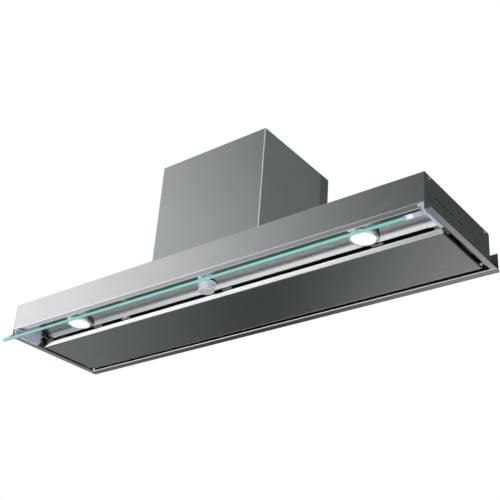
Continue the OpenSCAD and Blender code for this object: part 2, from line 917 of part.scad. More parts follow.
// Steel panel that hides the filters and leaves a slot all round
module suction_panel() {
    color(dark_steel_colour) placed()
        difference() {
            pan_form(0);
            pan_form(sheet_t);
            for (side = [-1, 1])
                rod_x(
                    side * panel_x - 2 * sheet_t, side * panel_x + 2 * sheet_t, hinge_y, hinge_z,
                    hinge_pin_r + pin_play
                );
        }
}

module sound_board() {
    edge = 12 * sheet_t;
    base = panel_z0 + sheet_t;
    color(black_colour) placed()
        difference() {
            block(
                [-panel_x + 2 * edge, panel_y + edge, base],
                [panel_x - 2 * edge, hinge_y - edge, base + board_t]
            );
            for (x = [-panel_x / 2, 0, panel_x / 2])
                block(
                    [x - sheet_t, panel_y, base + board_t / 2],
                    [x + sheet_t, panel_back_y, base + board_t + overrun]
                );
        }
}

// Steel plates that the catches hold
module panel_strikers() {
    back_y = tray_rear_y + catch_d + 2 * sheet_t;
    color(zinc_colour) placed()
        for (left = [false, true])
            on_left(left) {
                block(
                    [catch_x - sheet_t, panel_y + sheet_t, striker_z - sheet_t],
                    [panel_x - sheet_t, back_y, striker_z]
                );
                block(
                    [catch_x - sheet_t, panel_y + sheet_t + panel_r, panel_z0 + sheet_t],
                    [catch_x, back_y, striker_z]
                );
            }
}

// Pins and ears that carry the panel at its back corners
module panel_hinge_pins() {
    ear = 2 * hinge_pin_r;
    pin_end = inner_x - fit_gap - 2 * sheet_t;
    color(zinc_colour) placed()
        for (left = [false, true])
            on_left(left) {
                rod_x(panel_x - sheet_t - ear, pin_end, hinge_y, hinge_z, hinge_pin_r);
                block(
                    [panel_x - sheet_t - ear, hinge_y - ear, panel_z0 + sheet_t + panel_r],
                    [panel_x - sheet_t, hinge_y + ear, panel_top_z - sheet_t]
                );
            }
}

// Bracket on the side wall with a bored ear for the hinge pin
module hinge_bracket(left) {
    ear_x = panel_x + 2 * sheet_t;
    ear_r = 2 * hinge_pin_r;
    top_z = deck_z - filter_t;
    color(zinc_colour) placed() on_left(left)
        difference() {
            union() {
                block(
                    [inner_x - fit_gap - sheet_t, hinge_y - 3 * ear_r, hinge_z - ear_r],
                    [inner_x - fit_gap, hinge_y + ear_r, top_z]
                );
                block(
                    [ear_x, hinge_y - ear_r, hinge_z],
                    [ear_x + hinge_ear_t, hinge_y + ear_r, top_z]
                );
                rod_x(ear_x, ear_x + hinge_ear_t, hinge_y, hinge_z, ear_r);
                block(
                    [ear_x, hinge_y - ear_r, top_z - sheet_t],
                    [inner_x - fit_gap, hinge_y + ear_r, top_z]
                );
            }
            rod_x(
                ear_x - overrun, inner_x - 2 * fit_gap - sheet_t, hinge_y, hinge_z,
                hinge_pin_r + pin_play
            );
        }
}

// Magnetic catch with two pole plates in a moulded shell
module panel_catch(left) {
    y0 = tray_rear_y + fit_gap;
    y1 = y0 + catch_d;
    z0 = panel_top_z + sheet_t;
    color(black_colour) placed() on_left(left) {
        block([catch_x, y0, z0], [panel_x, y1, tray_rear_z]);
        block(
            [panel_x - overrun, y0, z0 + sheet_t],
            [inner_x - fit_gap, y0 + 4 * sheet_t, tray_rear_z]
        );
        block([cheek_x, y0, fit_gap], [inner_x - fit_gap, y0 + 4 * sheet_t, tray_rear_z]);
        block([cheek_x, cheek_end_y + fit_gap, fit_gap], [inner_x - fit_gap, y0 + sheet_t, foot_h]);
        for (y = [y0 + 3 * sheet_t, y1 - 4 * sheet_t])
            block(
                [catch_x + sheet_t, y, striker_z + fit_gap],
                [panel_x - 2 * sheet_t, y + sheet_t, z0 + sheet_t]
            );
    }
}

// Air guide that carries the filters, with its front wall behind the tray
module filter_deck() {
    top_z = plate_top_z - sheet_t - fit_gap;
    path = [
        [deck_y + top_fold_d, top_z - sheet_t], [deck_y + sheet_t, top_z - sheet_t],
        [deck_y + sheet_t, deck_z + sheet_t], [back_in_y - fit_gap - sheet_t, deck_z + sheet_t],
        [back_in_y - fit_gap - sheet_t, deck_z + top_fold_d],
    ];
    color(zinc_colour) placed()
        difference() {
            along_x(-deck_x, deck_x)
                polygon(folded(reversed(path), sheet_t, bend_r));
            for (side = [-1, 1])
                block(
                    [side * (filter_gap + filter_w) / 2 - filter_w / 2 + filter_rim, filter_y0 + filter_rim,
                        deck_z - overrun],
                    [side * (filter_gap + filter_w) / 2 + filter_w / 2 - filter_rim, filter_y1 - filter_rim,
                        deck_z + sheet_t + overrun]
                );
        }
    color(zinc_colour) placed()
        for (side = [-1, 1])
            translate([side * (filter_gap + filter_w) / 2, 0, 0]) {
                filter_keeper();
                filter_ledge();
            }
}

// Keeper plate with a window for the latch's tongue
module filter_keeper() {
    y1 = filter_y0 - fit_gap;
    half = latch_w / 2 + filter_rim / 2;
    difference() {
        block([-half, y1 - sheet_t, filter_z0 - sheet_t], [half, y1, deck_z + sheet_t / 2]);
        block(
            [-latch_w / 2 - fit_gap, y1 - sheet_t - overrun, filter_z0],
            [latch_w / 2 + fit_gap, y1 + overrun, filter_z0 + latch_t + fit_gap]
        );
    }
}

// Ledge that carries the back edge of a filter
module filter_ledge() {
    y0 = filter_y1 + fit_gap;
    low_z = filter_z0 - fit_gap - sheet_t;
    half = filter_w / 4;
    block([-half, y0, low_z], [half, y0 + sheet_t, deck_z + sheet_t / 2]);
    block([-half, y0 - filter_rim / 2, low_z], [half, y0 + sheet_t, low_z + sheet_t]);
}

module at_filter(left) {
    placed() on_left(left)
        translate([filter_gap / 2, 0, 0])
            children();
}

// Aluminium frame of a filter, an open channel on the inside
module filter_frame(left) {
    wall = sheet_t;
    color(zinc_colour) at_filter(left)
        difference() {
            block([0, filter_y0, filter_z0], [filter_w, filter_y1, filter_z1]);
            block(
                [filter_rim, filter_y0 + filter_rim, filter_z0 - overrun],
                [filter_w - filter_rim, filter_y1 - filter_rim, filter_z1 + overrun]
            );
            block(
                [wall, filter_y0 + wall, filter_z0 + wall],
                [filter_w - wall, filter_y1 - wall, filter_z1 - wall]
            );
            block(
                [filter_w / 2 - latch_w / 2 - fit_gap, filter_y0 - overrun, filter_z0 - overrun],
                [filter_w / 2 + latch_w / 2 + fit_gap, filter_y0 + filter_rim - wall,
                    filter_z0 + latch_t + fit_gap]
            );
        }
}

// Folded mesh layer held in the frame's channel
module filter_mesh(left) {
    edge = 2 * sheet_t;
    x0 = edge;
    x1 = filter_w - edge;
    mid_z = (filter_z0 + filter_z1) / 2 + latch_t / 4;
    amp = filter_t / 8;
    mesh_t = sheet_t / 2;
    step = (x1 - x0) / (2 * mesh_folds);
    top = [for (i = [0:2 * mesh_folds]) [x0 + i * step, mid_z + mesh_t + (i % 2 == 0 ? -amp : amp)]];
    low = [for (i = [0:2 * mesh_folds]) [x0 + i * step, mid_z - mesh_t + (i % 2 == 0 ? -amp : amp)]];
    color(dark_steel_colour) at_filter(left)
        along_y(filter_y0 + filter_rim - sheet_t / 2, filter_y1 - edge)
            polygon(concat(low, reversed(top)));
}

// Sliding latch with a finger dish and a tongue behind the deck's edge
module filter_latch(left) {
    x0 = filter_w / 2 - latch_w / 2;
    x1 = filter_w / 2 + latch_w / 2;
    y1 = filter_y0 + filter_rim - sheet_t - latch_travel - fit_gap;
    color(black_colour) at_filter(left)
        difference() {
            block([x0, filter_y0 - sheet_t * 2, filter_z0 + fit_gap], [x1, y1, filter_z0 + latch_t]);
            translate([filter_w / 2, filter_y0, filter_z0 - latch_t / 2])
                cylinder(h = latch_t, r = latch_travel / 2);
        }
}

// Front and side cover of the blower box
module box_cover() {
    path = [
        [box_inner, seam_y], [box_inner, box_y + sheet_t], [-box_inner, box_y + sheet_t],
        [-box_inner, seam_y],
    ];
    color(steel_colour) placed() {
        translate([0, 0, box_z])
            linear_extrude(cover_top_z - box_z)
                polygon(folded(path, sheet_t, bend_r));
        for (z = [box_z, cover_top_z - sheet_t])
            difference() {
                block(
                    [-box_inner - sheet_t / 2, box_y + sheet_t / 2, z],
                    [box_inner + sheet_t / 2, seam_y, z + sheet_t]
                );
                block(
                    [-box_inner + box_fold, box_y + box_fold, z - overrun],
                    [box_inner - box_fold, seam_y + overrun, z + sheet_t + overrun]
                );
            }
    }
}

// Rear frame of the blower box, with its foot behind the body
module box_rear() {
    side = box_inner - fit_gap;
    path = [
        [side, seam_y - box_fold], [side, box_back_y], [-side, box_back_y], [-side, seam_y - box_fold],
    ];
    foot_z = box_z + sheet_t + fit_gap;
    color(steel_colour) placed() {
        translate([0, 0, foot_z])
            linear_extrude(cover_top_z - sheet_t - fit_gap - foot_z)
                polygon(folded(path, sheet_t, bend_r));
        block(
            [-side + bend_r, intake_y1 + fit_gap, foot_z],
            [side - bend_r, box_back_y - sheet_t / 2, foot_z + sheet_t]
        );
    }
}

// Lid of the blower box with the round duct opening
module box_top() {
    color(steel_colour) placed()
        difference() {
            union() {
                block(
                    [-box_half + bend_r, box_y + bend_r, box_top_z - sheet_t],
                    [box_half - bend_r, box_back_y, box_top_z]
                );
                block(
                    [-box_inner + box_fold, box_back_y - sheet_t - fit_gap - sheet_t, box_top_z - box_fold],
                    [box_inner - box_fold, box_back_y - sheet_t - fit_gap, box_top_z - sheet_t / 2]
                );
            }
            translate([0, duct_y, box_top_z - sheet_t - overrun]) {
                cylinder(h = sheet_t + 2 * overrun, r = duct_in_r);
                for (h = [45:90:315])
                    rotate([0, 0, h])
                        translate([(duct_r + duct_flange_r) / 2, 0, 0])
                            cylinder(h = sheet_t + 2 * overrun, r = shank_r + fit_gap / 2);
            }
            translate([gland_x, gland_y, box_top_z - sheet_t - overrun])
                cylinder(h = sheet_t + 2 * overrun, r = gland_bore_r);
        }
}

module at_duct() {
    placed()
        translate([0, duct_y, seat_top_z])
            children();
}

// Round collar for the duct, with a flange, a ledge for the flaps and a lead-in
module duct_collar() {
    color(black_colour) at_duct()
        difference() {
            rotate_extrude()
                polygon([
                    [duct_in_r, -duct_flange_t], [duct_flange_r, -duct_flange_t],
                    [duct_flange_r, 0], [duct_r, 0],
                    [duct_r, duct_h], [duct_in_r, duct_h],
                    [duct_in_r, ledge_z], [duct_in_r - ledge_w, ledge_z], [duct_in_r, ledge_z - 2 * ledge_w],
                ]);
            rod_x(-duct_r - overrun, duct_r + overrun, 0, flap_axis_z, flap_pin_r + pin_play);
            for (h = [45:90:315])
                rotate([0, 0, h])
                    translate([(duct_r + duct_flange_r) / 2, 0, -duct_flange_t - overrun])
                        cylinder(h = duct_flange_t + 2 * overrun, r = shank_r + fit_gap);
        }
}

// Half-round flap that swings up on the pin, with eyes at its own places
module damper_flap(places, side) {
    eye_len = flap_r / 5;
    color(plastic_colour) at_duct()
        difference() {
            union() {
                intersection() {
                    translate([0, 0, flap_z])
                        cylinder(h = flap_t, r = flap_r);
                    block(
                        [-flap_r, side > 0 ? fit_gap : -flap_r, flap_z],
                        [flap_r, side > 0 ? flap_r : -fit_gap, flap_z + flap_t]
                    );
                }
                for (share = places)
                    intersection() {
                        rod_x(share * flap_r, share * flap_r + eye_len, 0, flap_axis_z, flap_eye_r);
                        block(
                            [-flap_r, -flap_eye_r, flap_z],
                            [flap_r, flap_eye_r, flap_axis_z + flap_eye_r]
                        );
                    }
            }
            rod_x(-flap_r - overrun, flap_r + overrun, 0, flap_axis_z, flap_pin_r + pin_play);
            for (share = side > 0 ? front_eye_shares : rear_eye_shares)
                block(
                    [share * flap_r - fit_gap, -flap_eye_r - fit_gap, flap_z - overrun],
                    [share * flap_r + eye_len + fit_gap, flap_eye_r + fit_gap, flap_axis_z + 2 * flap_eye_r]
                );
        }
}

front_eye_shares = [-0.85, 0.3];
rear_eye_shares = [-0.5, 0.65];

module damper_pin() {
    color(zinc_colour) at_duct()
        rod_x(-duct_r + fit_gap, duct_r - fit_gap, 0, flap_axis_z, flap_pin_r);
}

module at_blower() {
    placed()
        translate([0, shaft_y, blower_z])
            children();
}

// Half of the spiral housing, with its side wall, bell mouth and split flange
module scroll_half_shell() {
    color(plastic_colour)
        difference() {
            union() {
                along_x(fit_gap / 2, scroll_half + scroll_wall)
                    polygon(scroll_outline(scroll_wall));
                rod_x(scroll_half, scroll_half + 2 * scroll_wall, 0, 0, inlet_r + 3 * scroll_wall);
                along_x(fit_gap / 2, 2 * scroll_wall)
                    intersection() {
                        polygon(scroll_outline(2 * scroll_wall));
                        translate([-2 * scroll_end_r, -2 * scroll_end_r])
                            square([4 * scroll_end_r, 2 * scroll_end_r + outlet_z - blower_z]);
                    }
            }
            along_x(-overrun, scroll_half)
                intersection() {
                    polygon(scroll_outline(0));
                    translate([-2 * scroll_end_r, -2 * scroll_end_r])
                        square([4 * scroll_end_r, 2 * scroll_end_r + outlet_z - blower_z + overrun]);
                }
            translate([0, 0, 0])
                block(
                    [-overrun, outlet_y0 - shaft_y, outlet_z - blower_z - overrun],
                    [scroll_half, outlet_y1 - shaft_y, outlet_z - blower_z + overrun]
                );
            translate([scroll_half - overrun, 0, 0])
                rotate([0, 90, 0])
                    cylinder(h = 2 * overrun + 2 * scroll_wall, r1 = inlet_r, r2 = inlet_r + 2 * scroll_wall);
        }
}

module scroll(left) {
    at_blower() on_left(left)
        scroll_half_shell();
}

// Outline of one forward-curved blade
function blade_outline() =
    let (
        inner = impeller_r - blade_depth,
        curve = chord_arc([inner, 0], [impeller_r - blade_t, blade_depth / 2], -blade_depth / 5, bend_steps),
        other = chord_arc([inner, blade_t], [impeller_r - blade_t, blade_depth / 2 + blade_t], -blade_depth / 5,
            bend_steps)
    )
    concat(curve, reversed(other));

// Double-inlet impeller: a centre disc with a hub, two rims and a ring of curved blades
module impeller() {
    rim_w = 4 * blade_t;
    hub_r = 3 * motor_shaft_r;
    color(zinc_colour) at_blower() {
        difference() {
            union() {
                rod_x(-blade_t, blade_t, 0, 0, impeller_r);
                rod_x(-2 * blade_t, 3 * hub_r / 2, 0, 0, hub_r);
            }
            rod_x(-hub_r, 2 * hub_r, 0, 0, motor_shaft_r + pin_play);
        }
        for (side = [-1, 1])
            on_left(side < 0)
                difference() {
                    rod_x(impeller_half - rim_w, impeller_half, 0, 0, impeller_r);
                    rod_x(
                        impeller_half - rim_w - overrun, impeller_half + overrun, 0, 0,
                        impeller_r - blade_depth + blade_t
                    );
                }
        for (i = [0:blades - 1])
            rotate([360 * i / blades, 0, 0])
                along_x(-impeller_half + blade_t, impeller_half - blade_t)
                    polygon(blade_outline());
    }
}

// Shaft that carries the impeller and runs in the motor
module motor_shaft() {
    color(zinc_colour) at_blower()
        rod_x(-motor_half - sheet_t, 5 * motor_shaft_r, 0, 0, motor_shaft_r);
}

// Motor inside the left half of the impeller, with cooling slots in its shell
module motor() {
    end = motor_half + 4 * sheet_t;
    gap = 4 * sheet_t;
    slots = 12;
    color(dark_steel_colour) at_blower()
        difference() {
            union() {
                rod_x(-motor_half, -gap, 0, 0, motor_r);
                rod_x(-end, -motor_half + overrun, 0, 0, motor_r / 2);
            }
            rod_x(-end - overrun, 0, 0, 0, motor_shaft_r + pin_play);
            for (i = [1:slots])
                rotate([360 * i / slots, 0, 0])
                    block(
                        [-motor_half * 4 / 5, -sheet_t, motor_r - 3 * sheet_t],
                        [-motor_half / 3, sheet_t, motor_r + overrun]
                    );
        }
}

// Three-armed plate that hangs the motor in the scroll's inlet
module motor_bracket() {
    x0 = scroll_half + 2 * scroll_wall + fit_gap;
    arm_half = motor_shaft_r;
    reach = inlet_r + 2 * scroll_wall;
    hub_x = motor_half + fit_gap;
    color(zinc_colour) at_blower()
        mirror([1, 0, 0])
            difference() {
                union() {
                    rod_x(hub_x, x0 + sheet_t, 0, 0, motor_r * 2 / 3);
                    for (h = [30, 150, 270])
                        rotate([h, 0, 0])
                            block([x0, -arm_half, 0], [x0 + 2 * sheet_t, arm_half, reach]);
                }
                rod_x(hub_x - overrun, x0 + 3 * sheet_t, 0, 0, motor_r / 2 + fit_gap);
            }
}

// Control box behind the front panel

module control_box() {
    y0 = control_y0;
    foot_z = tray_arc_z(y0 + control_wall) + sheet_t + fit_gap;
    color(black_colour) placed()
        difference() {
            union() {
                block(
                    [control_x0, y0, control_z],
                    [control_x0 + control_w, y0 + control_d, control_z + control_h]
                );
                block(
                    [control_x0, y0, foot_z],
                    [control_x0 + control_w, y0 + control_wall, control_z + control_wall]
                );
            }
            block(
                [control_x0 + control_wall, y0 + control_wall, control_z + control_wall],
                [control_x0 + control_w - control_wall, y0 + control_d - control_wall,
                    control_z + control_h + overrun]
            );
        }
}

module control_lid() {
    y0 = control_y0;
    z0 = control_z + control_h + fit_gap / 6;
    color(plastic_colour) placed() {
        block([control_x0, y0, z0], [control_x0 + control_w, y0 + control_d, z0 + control_wall]);
        block(
            [control_x0 + 2 * control_wall, y0 + 2 * control_wall, z0 - control_wall],
            [control_x0 + control_w - 2 * control_wall, y0 + control_d - 2 * control_wall, z0 + overrun]
        );
    }
}

// Cable gland in the lid of the blower box
module cable_gland() {
    color(black_colour) placed()
        translate([gland_x, gland_y, box_top_z])
            difference() {
                union() {
                    cylinder(h = gland_h * 2 / 5, r = gland_r);
                    cylinder(h = gland_h, r = gland_r * 3 / 4);
                }
                translate([0, 0, -overrun])
                    cylinder(h = gland_h + 2 * overrun, r = gland_bore_r);
            }
}

// Screws that hold the top plate between the side walls
module body_screws() {
    color(zinc_colour) placed()
        for (left = [false, true])
            on_left(left)
                for (y = body_screw_ys())
                    translate([half_w + fit_gap / 6, y, body_screw_z()])
                        rotate([0, 90, 0])
                            screw_up([0, 0, 0]);
}

// Screws that hold the duct collar
module box_screws() {
    color(zinc_colour) at_duct()
        for (h = [45:90:315])
            rotate([0, 0, h])
                screw_up([(duct_r + duct_flange_r) / 2, 0, fit_gap / 6]);
}

front_panel();
side_panel(true);  // side_panel_left
side_panel(false);  // side_panel_right
back_panel();
top_plate();
rear_filler();
light_tray();
tray_end(true);  // tray_end_left
tray_end(false);  // tray_end_right
visor_cheek(true);  // visor_cheek_left
visor_cheek(false);  // visor_cheek_right
lamp_bezel(true);  // lamp_bezel_left
lamp_bezel(false);  // lamp_bezel_right
lamp_lens(true);  // lamp_lens_left
lamp_lens(false);  // lamp_lens_right
lamp_body(true);  // lamp_body_left
lamp_body(false);  // lamp_body_right
knob();
knob_shaft();
knob_collar();
rotary_switch();
visor_glass();
visor_arm(true);  // visor_arm_left
visor_arm(false);  // visor_arm_right
glass_clip(true);  // glass_clip_left
glass_clip(false);  // glass_clip_right
suction_panel();
sound_board();
panel_strikers();
panel_hinge_pins();
hinge_bracket(true);  // hinge_bracket_left
hinge_bracket(false);  // hinge_bracket_right
panel_catch(true);  // panel_catch_left
panel_catch(false);  // panel_catch_right
filter_deck();
filter_frame(true);  // filter_frame_left
filter_frame(false);  // filter_frame_right
filter_mesh(true);  // filter_mesh_left
filter_mesh(false);  // filter_mesh_right
filter_latch(true);  // filter_latch_left
filter_latch(false);  // filter_latch_right
box_cover();
box_rear();
box_top();
duct_collar();
damper_flap(front_eye_shares, -1);  // damper_flap_front
damper_flap(rear_eye_shares, 1);  // damper_flap_rear
damper_pin();
scroll(true);  // scroll_left
scroll(false);  // scroll_right
impeller();
motor_shaft();
motor();
motor_bracket();
control_box();
control_lid();
cable_gland();
body_screws();
box_screws();
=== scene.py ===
import json
import math

import bmesh
import bpy
from mathutils import Matrix, Vector


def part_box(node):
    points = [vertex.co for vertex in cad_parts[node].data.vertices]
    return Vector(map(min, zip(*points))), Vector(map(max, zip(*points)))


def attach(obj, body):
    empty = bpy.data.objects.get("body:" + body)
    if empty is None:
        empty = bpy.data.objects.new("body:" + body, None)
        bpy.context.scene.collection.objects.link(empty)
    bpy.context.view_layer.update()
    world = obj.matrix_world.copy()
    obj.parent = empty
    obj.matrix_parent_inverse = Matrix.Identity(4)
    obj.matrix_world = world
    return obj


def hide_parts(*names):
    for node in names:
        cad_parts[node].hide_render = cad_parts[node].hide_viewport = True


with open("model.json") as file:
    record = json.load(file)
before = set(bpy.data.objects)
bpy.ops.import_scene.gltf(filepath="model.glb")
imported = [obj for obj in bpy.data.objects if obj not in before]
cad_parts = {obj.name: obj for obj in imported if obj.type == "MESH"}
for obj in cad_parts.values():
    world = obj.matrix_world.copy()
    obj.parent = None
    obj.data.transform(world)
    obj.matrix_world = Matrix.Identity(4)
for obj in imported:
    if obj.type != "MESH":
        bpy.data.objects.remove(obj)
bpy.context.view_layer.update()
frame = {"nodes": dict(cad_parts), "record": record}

# ---------------------------------------------------------------- measures

# In the hood's own millimetres; the duct's centre on its seat is the frame's origin.
MM = 0.001
DUCT_Y = 171.0
SEAT_Z = 378.5
HEM_SPLIT_Z = 17.5
HEM_DEPTH = 18.0
SIDE_X = 587.06
BOX_CORNER_X = (155.6, 156.4)
TRAY_LEAN_Y = (78.0, 110.0)
TRAY_LEAN = 0.85
PANEL_FACE_Y = 96.7
PANEL_RIM_Y = 261.6
PANEL_RIM_LONGER = 4.0
BEAD_END_Y = 281.4
TAB_X = (-389.6, -292.2, 27.0, 422.0)
TAB_HALF = 13.0
HEAD_RADIUS = 3.4
HEAD_HEIGHT = 1.8
BODY_OF = {
    node: body
    for body, members in frame["record"]["behaviour"]["bodies"].items()
    for node in members
}
SLOT_OF = {
    part["node"]: part["material_slot"] for part in frame["record"]["subparts"]
}


def spot(x, y, z):
    """A point given in the hood's own millimetres, in metres from the duct's centre."""
    return Vector((x * MM, (y - DUCT_Y) * MM, (z - SEAT_Z) * MM))


# ------------------------------------------------------------------ camera


def set_camera():
    """The camera as fitted to the photograph: lens, shift, axes and place."""
    data = bpy.data.cameras.new("photo_camera")
    data.sensor_width = 36.0
    data.lens = 68.0916
    data.shift_x = -0.0602
    data.shift_y = 0.0602
    data.clip_start = 0.05
    data.clip_end = 60.0
    camera = bpy.data.objects.new("photo_camera", data)
    bpy.context.scene.collection.objects.link(camera)
    right = Vector((0.80361487, 0.59264932, 0.05449696))
    up = Vector((0.23075645, -0.39468072, 0.88936977))
    forward = Vector((-0.54859329, 0.70213525, 0.45392895))
    turn = Matrix((right, up, -forward)).transposed()
    camera.matrix_world = (
        Matrix.Translation(Vector((1.29958, -1.50249, -1.30236))) @ turn.to_4x4()
    )
    bpy.context.scene.camera = camera


# ------------------------------------------------------------ node helpers


def add(tree, kind, values=None, **settings):
    """A node with its settings; its inputs get plain values or other sockets."""
    node = tree.nodes.new(kind)
    for name, value in settings.items():
        setattr(node, name, value)
    for name, value in (values or {}).items():
        if isinstance(value, bpy.types.NodeSocket):
            tree.links.new(value, node.inputs[name])
        else:
            node.inputs[name].default_value = value
    return node


def math_node(tree, operation, a, b=0.0, clamp=False):
    node = tree.nodes.new("ShaderNodeMath")
    node.operation = operation
    node.use_clamp = clamp
    for slot, value in enumerate((a, b)):
        if isinstance(value, bpy.types.NodeSocket):
            tree.links.new(value, node.inputs[slot])
        else:
            node.inputs[slot].default_value = value
    return node.outputs[0]


def ramp(tree, value, low, high, to_low=0.0, to_high=1.0):
    """Smooth step of a value from one level to another."""
    node = add(
        tree,
        "ShaderNodeMapRange",
        {
            "Value": value,
            "From Min": low,
            "From Max": high,
            "To Min": to_low,
            "To Max": to_high,
        },
        interpolation_type="SMOOTHSTEP",
    )
    return node.outputs["Result"]


def mix_colour(tree, factor, a, b, blend="MIX"):
    node = tree.nodes.new("ShaderNodeMix")
    node.data_type = "RGBA"
    node.blend_type = blend
    sockets = (node.inputs[0], node.inputs[6], node.inputs[7])
    for socket, value in zip(sockets, (factor, a, b)):
        if isinstance(value, bpy.types.NodeSocket):
            tree.links.new(value, socket)
        else:
            socket.default_value = value
    return node.outputs[2]


def noise(tree, vector, scale, detail=3.0, roughness=0.5, distortion=0.0):
    node = add(
        tree,
        "ShaderNodeTexNoise",
        {
            "Vector": vector,
            "Scale": scale,
            "Detail": detail,
            "Roughness": roughness,
            "Distortion": distortion,
        },
    )
    return node.outputs["Fac"]


def stretch(tree, vector, scale):
    node = add(tree, "ShaderNodeVectorMath", {0: vector, 1: scale}, operation="MULTIPLY")
    return node.outputs[0]


# ----------------------------------------------------- world, floor, lamps


# Soft walls that brushed metal mirrors: direction, cosine where each starts, cosine
# where it is full, strength. They were set on the photograph's view.
WALLS = [
    ((-0.95, -0.2, 0.2), 0.67, 0.96, 1.25),
    ((-0.9, 0.3, -0.3), 0.83, 0.975, 0.50),
    ((-0.7, -0.6, -0.4), 0.88, 0.99, 1.15),
    ((0.0, -0.1, -1.0), 0.60, 0.80, 0.90),
    ((0.75, -0.6, 0.3), 0.84, 0.96, 0.9),
    ((1.0, 0.0, 0.0), 0.30, 0.95, 0.40),
    ((0.0, 1.0, 0.0), 0.88, 0.97, 0.45),
    ((0.0, 0.0, 1.0), 0.74, 0.94, 0.8),
    ((-0.2, 0.93, -0.3), 0.90, 0.98, 0.95),
    ((-0.35, 0.78, 0.52), 0.90, 0.985, 0.40),
]
DARKEST, BRIGHTEST = 0.05, 1.6


def set_world():
    """White behind the hood; soft, darker walls where brushed metal mirrors them."""
    world = bpy.data.worlds.new("studio")
    bpy.context.scene.world = world
    world.use_nodes = True
    tree = world.node_tree
    tree.nodes.clear()
    out = add(tree, "ShaderNodeOutputWorld")
    where = add(tree, "ShaderNodeTexCoord").outputs["Generated"]

    def lobe(direction, low, high, strength):
        along = add(
            tree,
            "ShaderNodeVectorMath",
            {0: where, 1: Vector(direction).normalized()},
            operation="DOT_PRODUCT",
        ).outputs["Value"]
        return ramp(tree, along, low, high, 0.0, strength)

    level = DARKEST
    for wall in WALLS:
        level = math_node(tree, "ADD", level, lobe(*wall))
    level = math_node(tree, "MINIMUM", level, BRIGHTEST)
    mirrored = mix_colour(
        tree, ramp(tree, level, 0.1, 0.9), (0.90, 1.0, 1.02, 1.0), (1.0, 1.0, 1.0, 1.0)
    )
    rays = add(tree, "ShaderNodeLightPath")
    plain = add(
        tree, "ShaderNodeBackground", {"Color": (1.0, 1.0, 1.0, 1.0), "Strength": 0.86}
    )
    metal = add(tree, "ShaderNodeBackground", {"Color": mirrored, "Strength": level})
    white = add(
        tree, "ShaderNodeBackground", {"Color": (1.0, 1.0, 1.0, 1.0), "Strength": 1.0}
    )
    lit = add(
        tree,
        "ShaderNodeMixShader",
        {0: rays.outputs["Is Glossy Ray"], 1: plain.outputs[0], 2: metal.outputs[0]},
    )
    seen = math_node(
        tree,
        "MAXIMUM",
        rays.outputs["Is Camera Ray"],
        rays.outputs["Is Transmission Ray"],
    )
    final = add(
        tree,
        "ShaderNodeMixShader",
        {0: seen, 1: lit.outputs[0], 2: white.outputs[0]},
    )
    tree.links.new(final.outputs[0], out.inputs["Surface"])


def set_floor():
    """A pale floor as far below the hood as in a kitchen. It is seen from above only."""
    mesh = bpy.data.meshes.new("kitchen_floor")
    half, level = 14.0, -2.0
    corners = [(-half, -half, level), (half, -half, level), (half, half, level)]
    mesh.from_pydata(corners + [(-half, half, level)], [], [(0, 1, 2, 3)])
    floor = bpy.data.objects.new("kitchen_floor", mesh)
    bpy.context.scene.collection.objects.link(floor)
    finish = bpy.data.materials.new("pale_floor")
    finish.use_nodes = True
    tree = finish.node_tree
    tree.nodes.clear()
    out = add(tree, "ShaderNodeOutputMaterial")
    rays = add(tree, "ShaderNodeLightPath")
    back = add(tree, "ShaderNodeNewGeometry").outputs["Backfacing"]
    speck = noise(
        tree, add(tree, "ShaderNodeTexCoord").outputs["Object"], 1.4, detail=5.0
    )
    pale = mix_colour(tree, speck, (0.86, 0.86, 0.86, 1.0), (0.90, 0.90, 0.90, 1.0))
    matt = add(tree, "ShaderNodeBsdfDiffuse", {"Color": pale})
    clear = add(tree, "ShaderNodeBsdfTransparent")
    passed = math_node(tree, "MAXIMUM", rays.outputs["Is Glossy Ray"], back)
    passed = math_node(tree, "MAXIMUM", passed, rays.outputs["Is Transmission Ray"])
    shown = add(
        tree, "ShaderNodeMixShader", {0: passed, 1: matt.outputs[0], 2: clear.outputs[0]}
    )
    tree.links.new(shown.outputs[0], out.inputs["Surface"])
    mesh.materials.append(finish)


def set_lamps():
    """Three large soft lamps: low in front on both sides, and high behind on the right."""
    for name, place, aim, size, power in (
        ("front_lamp", (-2.2, -2.6, -1.3), (0.0, 0.0, -0.2), 2.2, 26.0),
        ("right_lamp", (2.6, -1.6, -1.5), (-0.3, 0.0, -0.3), 2.0, 34.0),
        ("high_lamp", (2.4, 2.2, 2.6), (0.0, 0.0, -0.2), 2.4, 30.0),
    ):
        data = bpy.data.lights.new(name, "AREA")
        data.shape = "SQUARE"
        data.size = size
        data.energy = power
        lamp = bpy.data.objects.new(name, data)
        lamp.location = place
        way = Vector(aim) - Vector(place)
        lamp.rotation_euler = way.to_track_quat("-Z", "Y").to_euler()
        lamp.visible_glossy = False
        bpy.context.scene.collection.objects.link(lamp)


# --------------------------------------------------- shared shader effects


def effect(name, inputs, outputs):
    """An empty shader node group with its named inputs and outputs."""
    tree = bpy.data.node_groups.new(name, "ShaderNodeTree")
    for label, kind, value in inputs:
        socket = tree.interface.new_socket(label, in_out="INPUT", socket_type=kind)
        socket.default_value = value
    for label, kind in outputs:
        tree.interface.new_socket(label, in_out="OUTPUT", socket_type=kind)
    given = tree.nodes.new("NodeGroupInput")
    result = tree.nodes.new("NodeGroupOutput")
    return tree, given.outputs, result.inputs


COLOUR, FLOAT, VECTOR = "NodeSocketColor", "NodeSocketFloat", "NodeSocketVector"


def shaded(tree, colour, shade):
    """The colour times a grey of the given shade."""
    grey = add(tree, "ShaderNodeCombineColor", {0: shade, 1: shade, 2: shade})
    return mix_colour(tree, 1.0, colour, grey.outputs[0], "MULTIPLY")


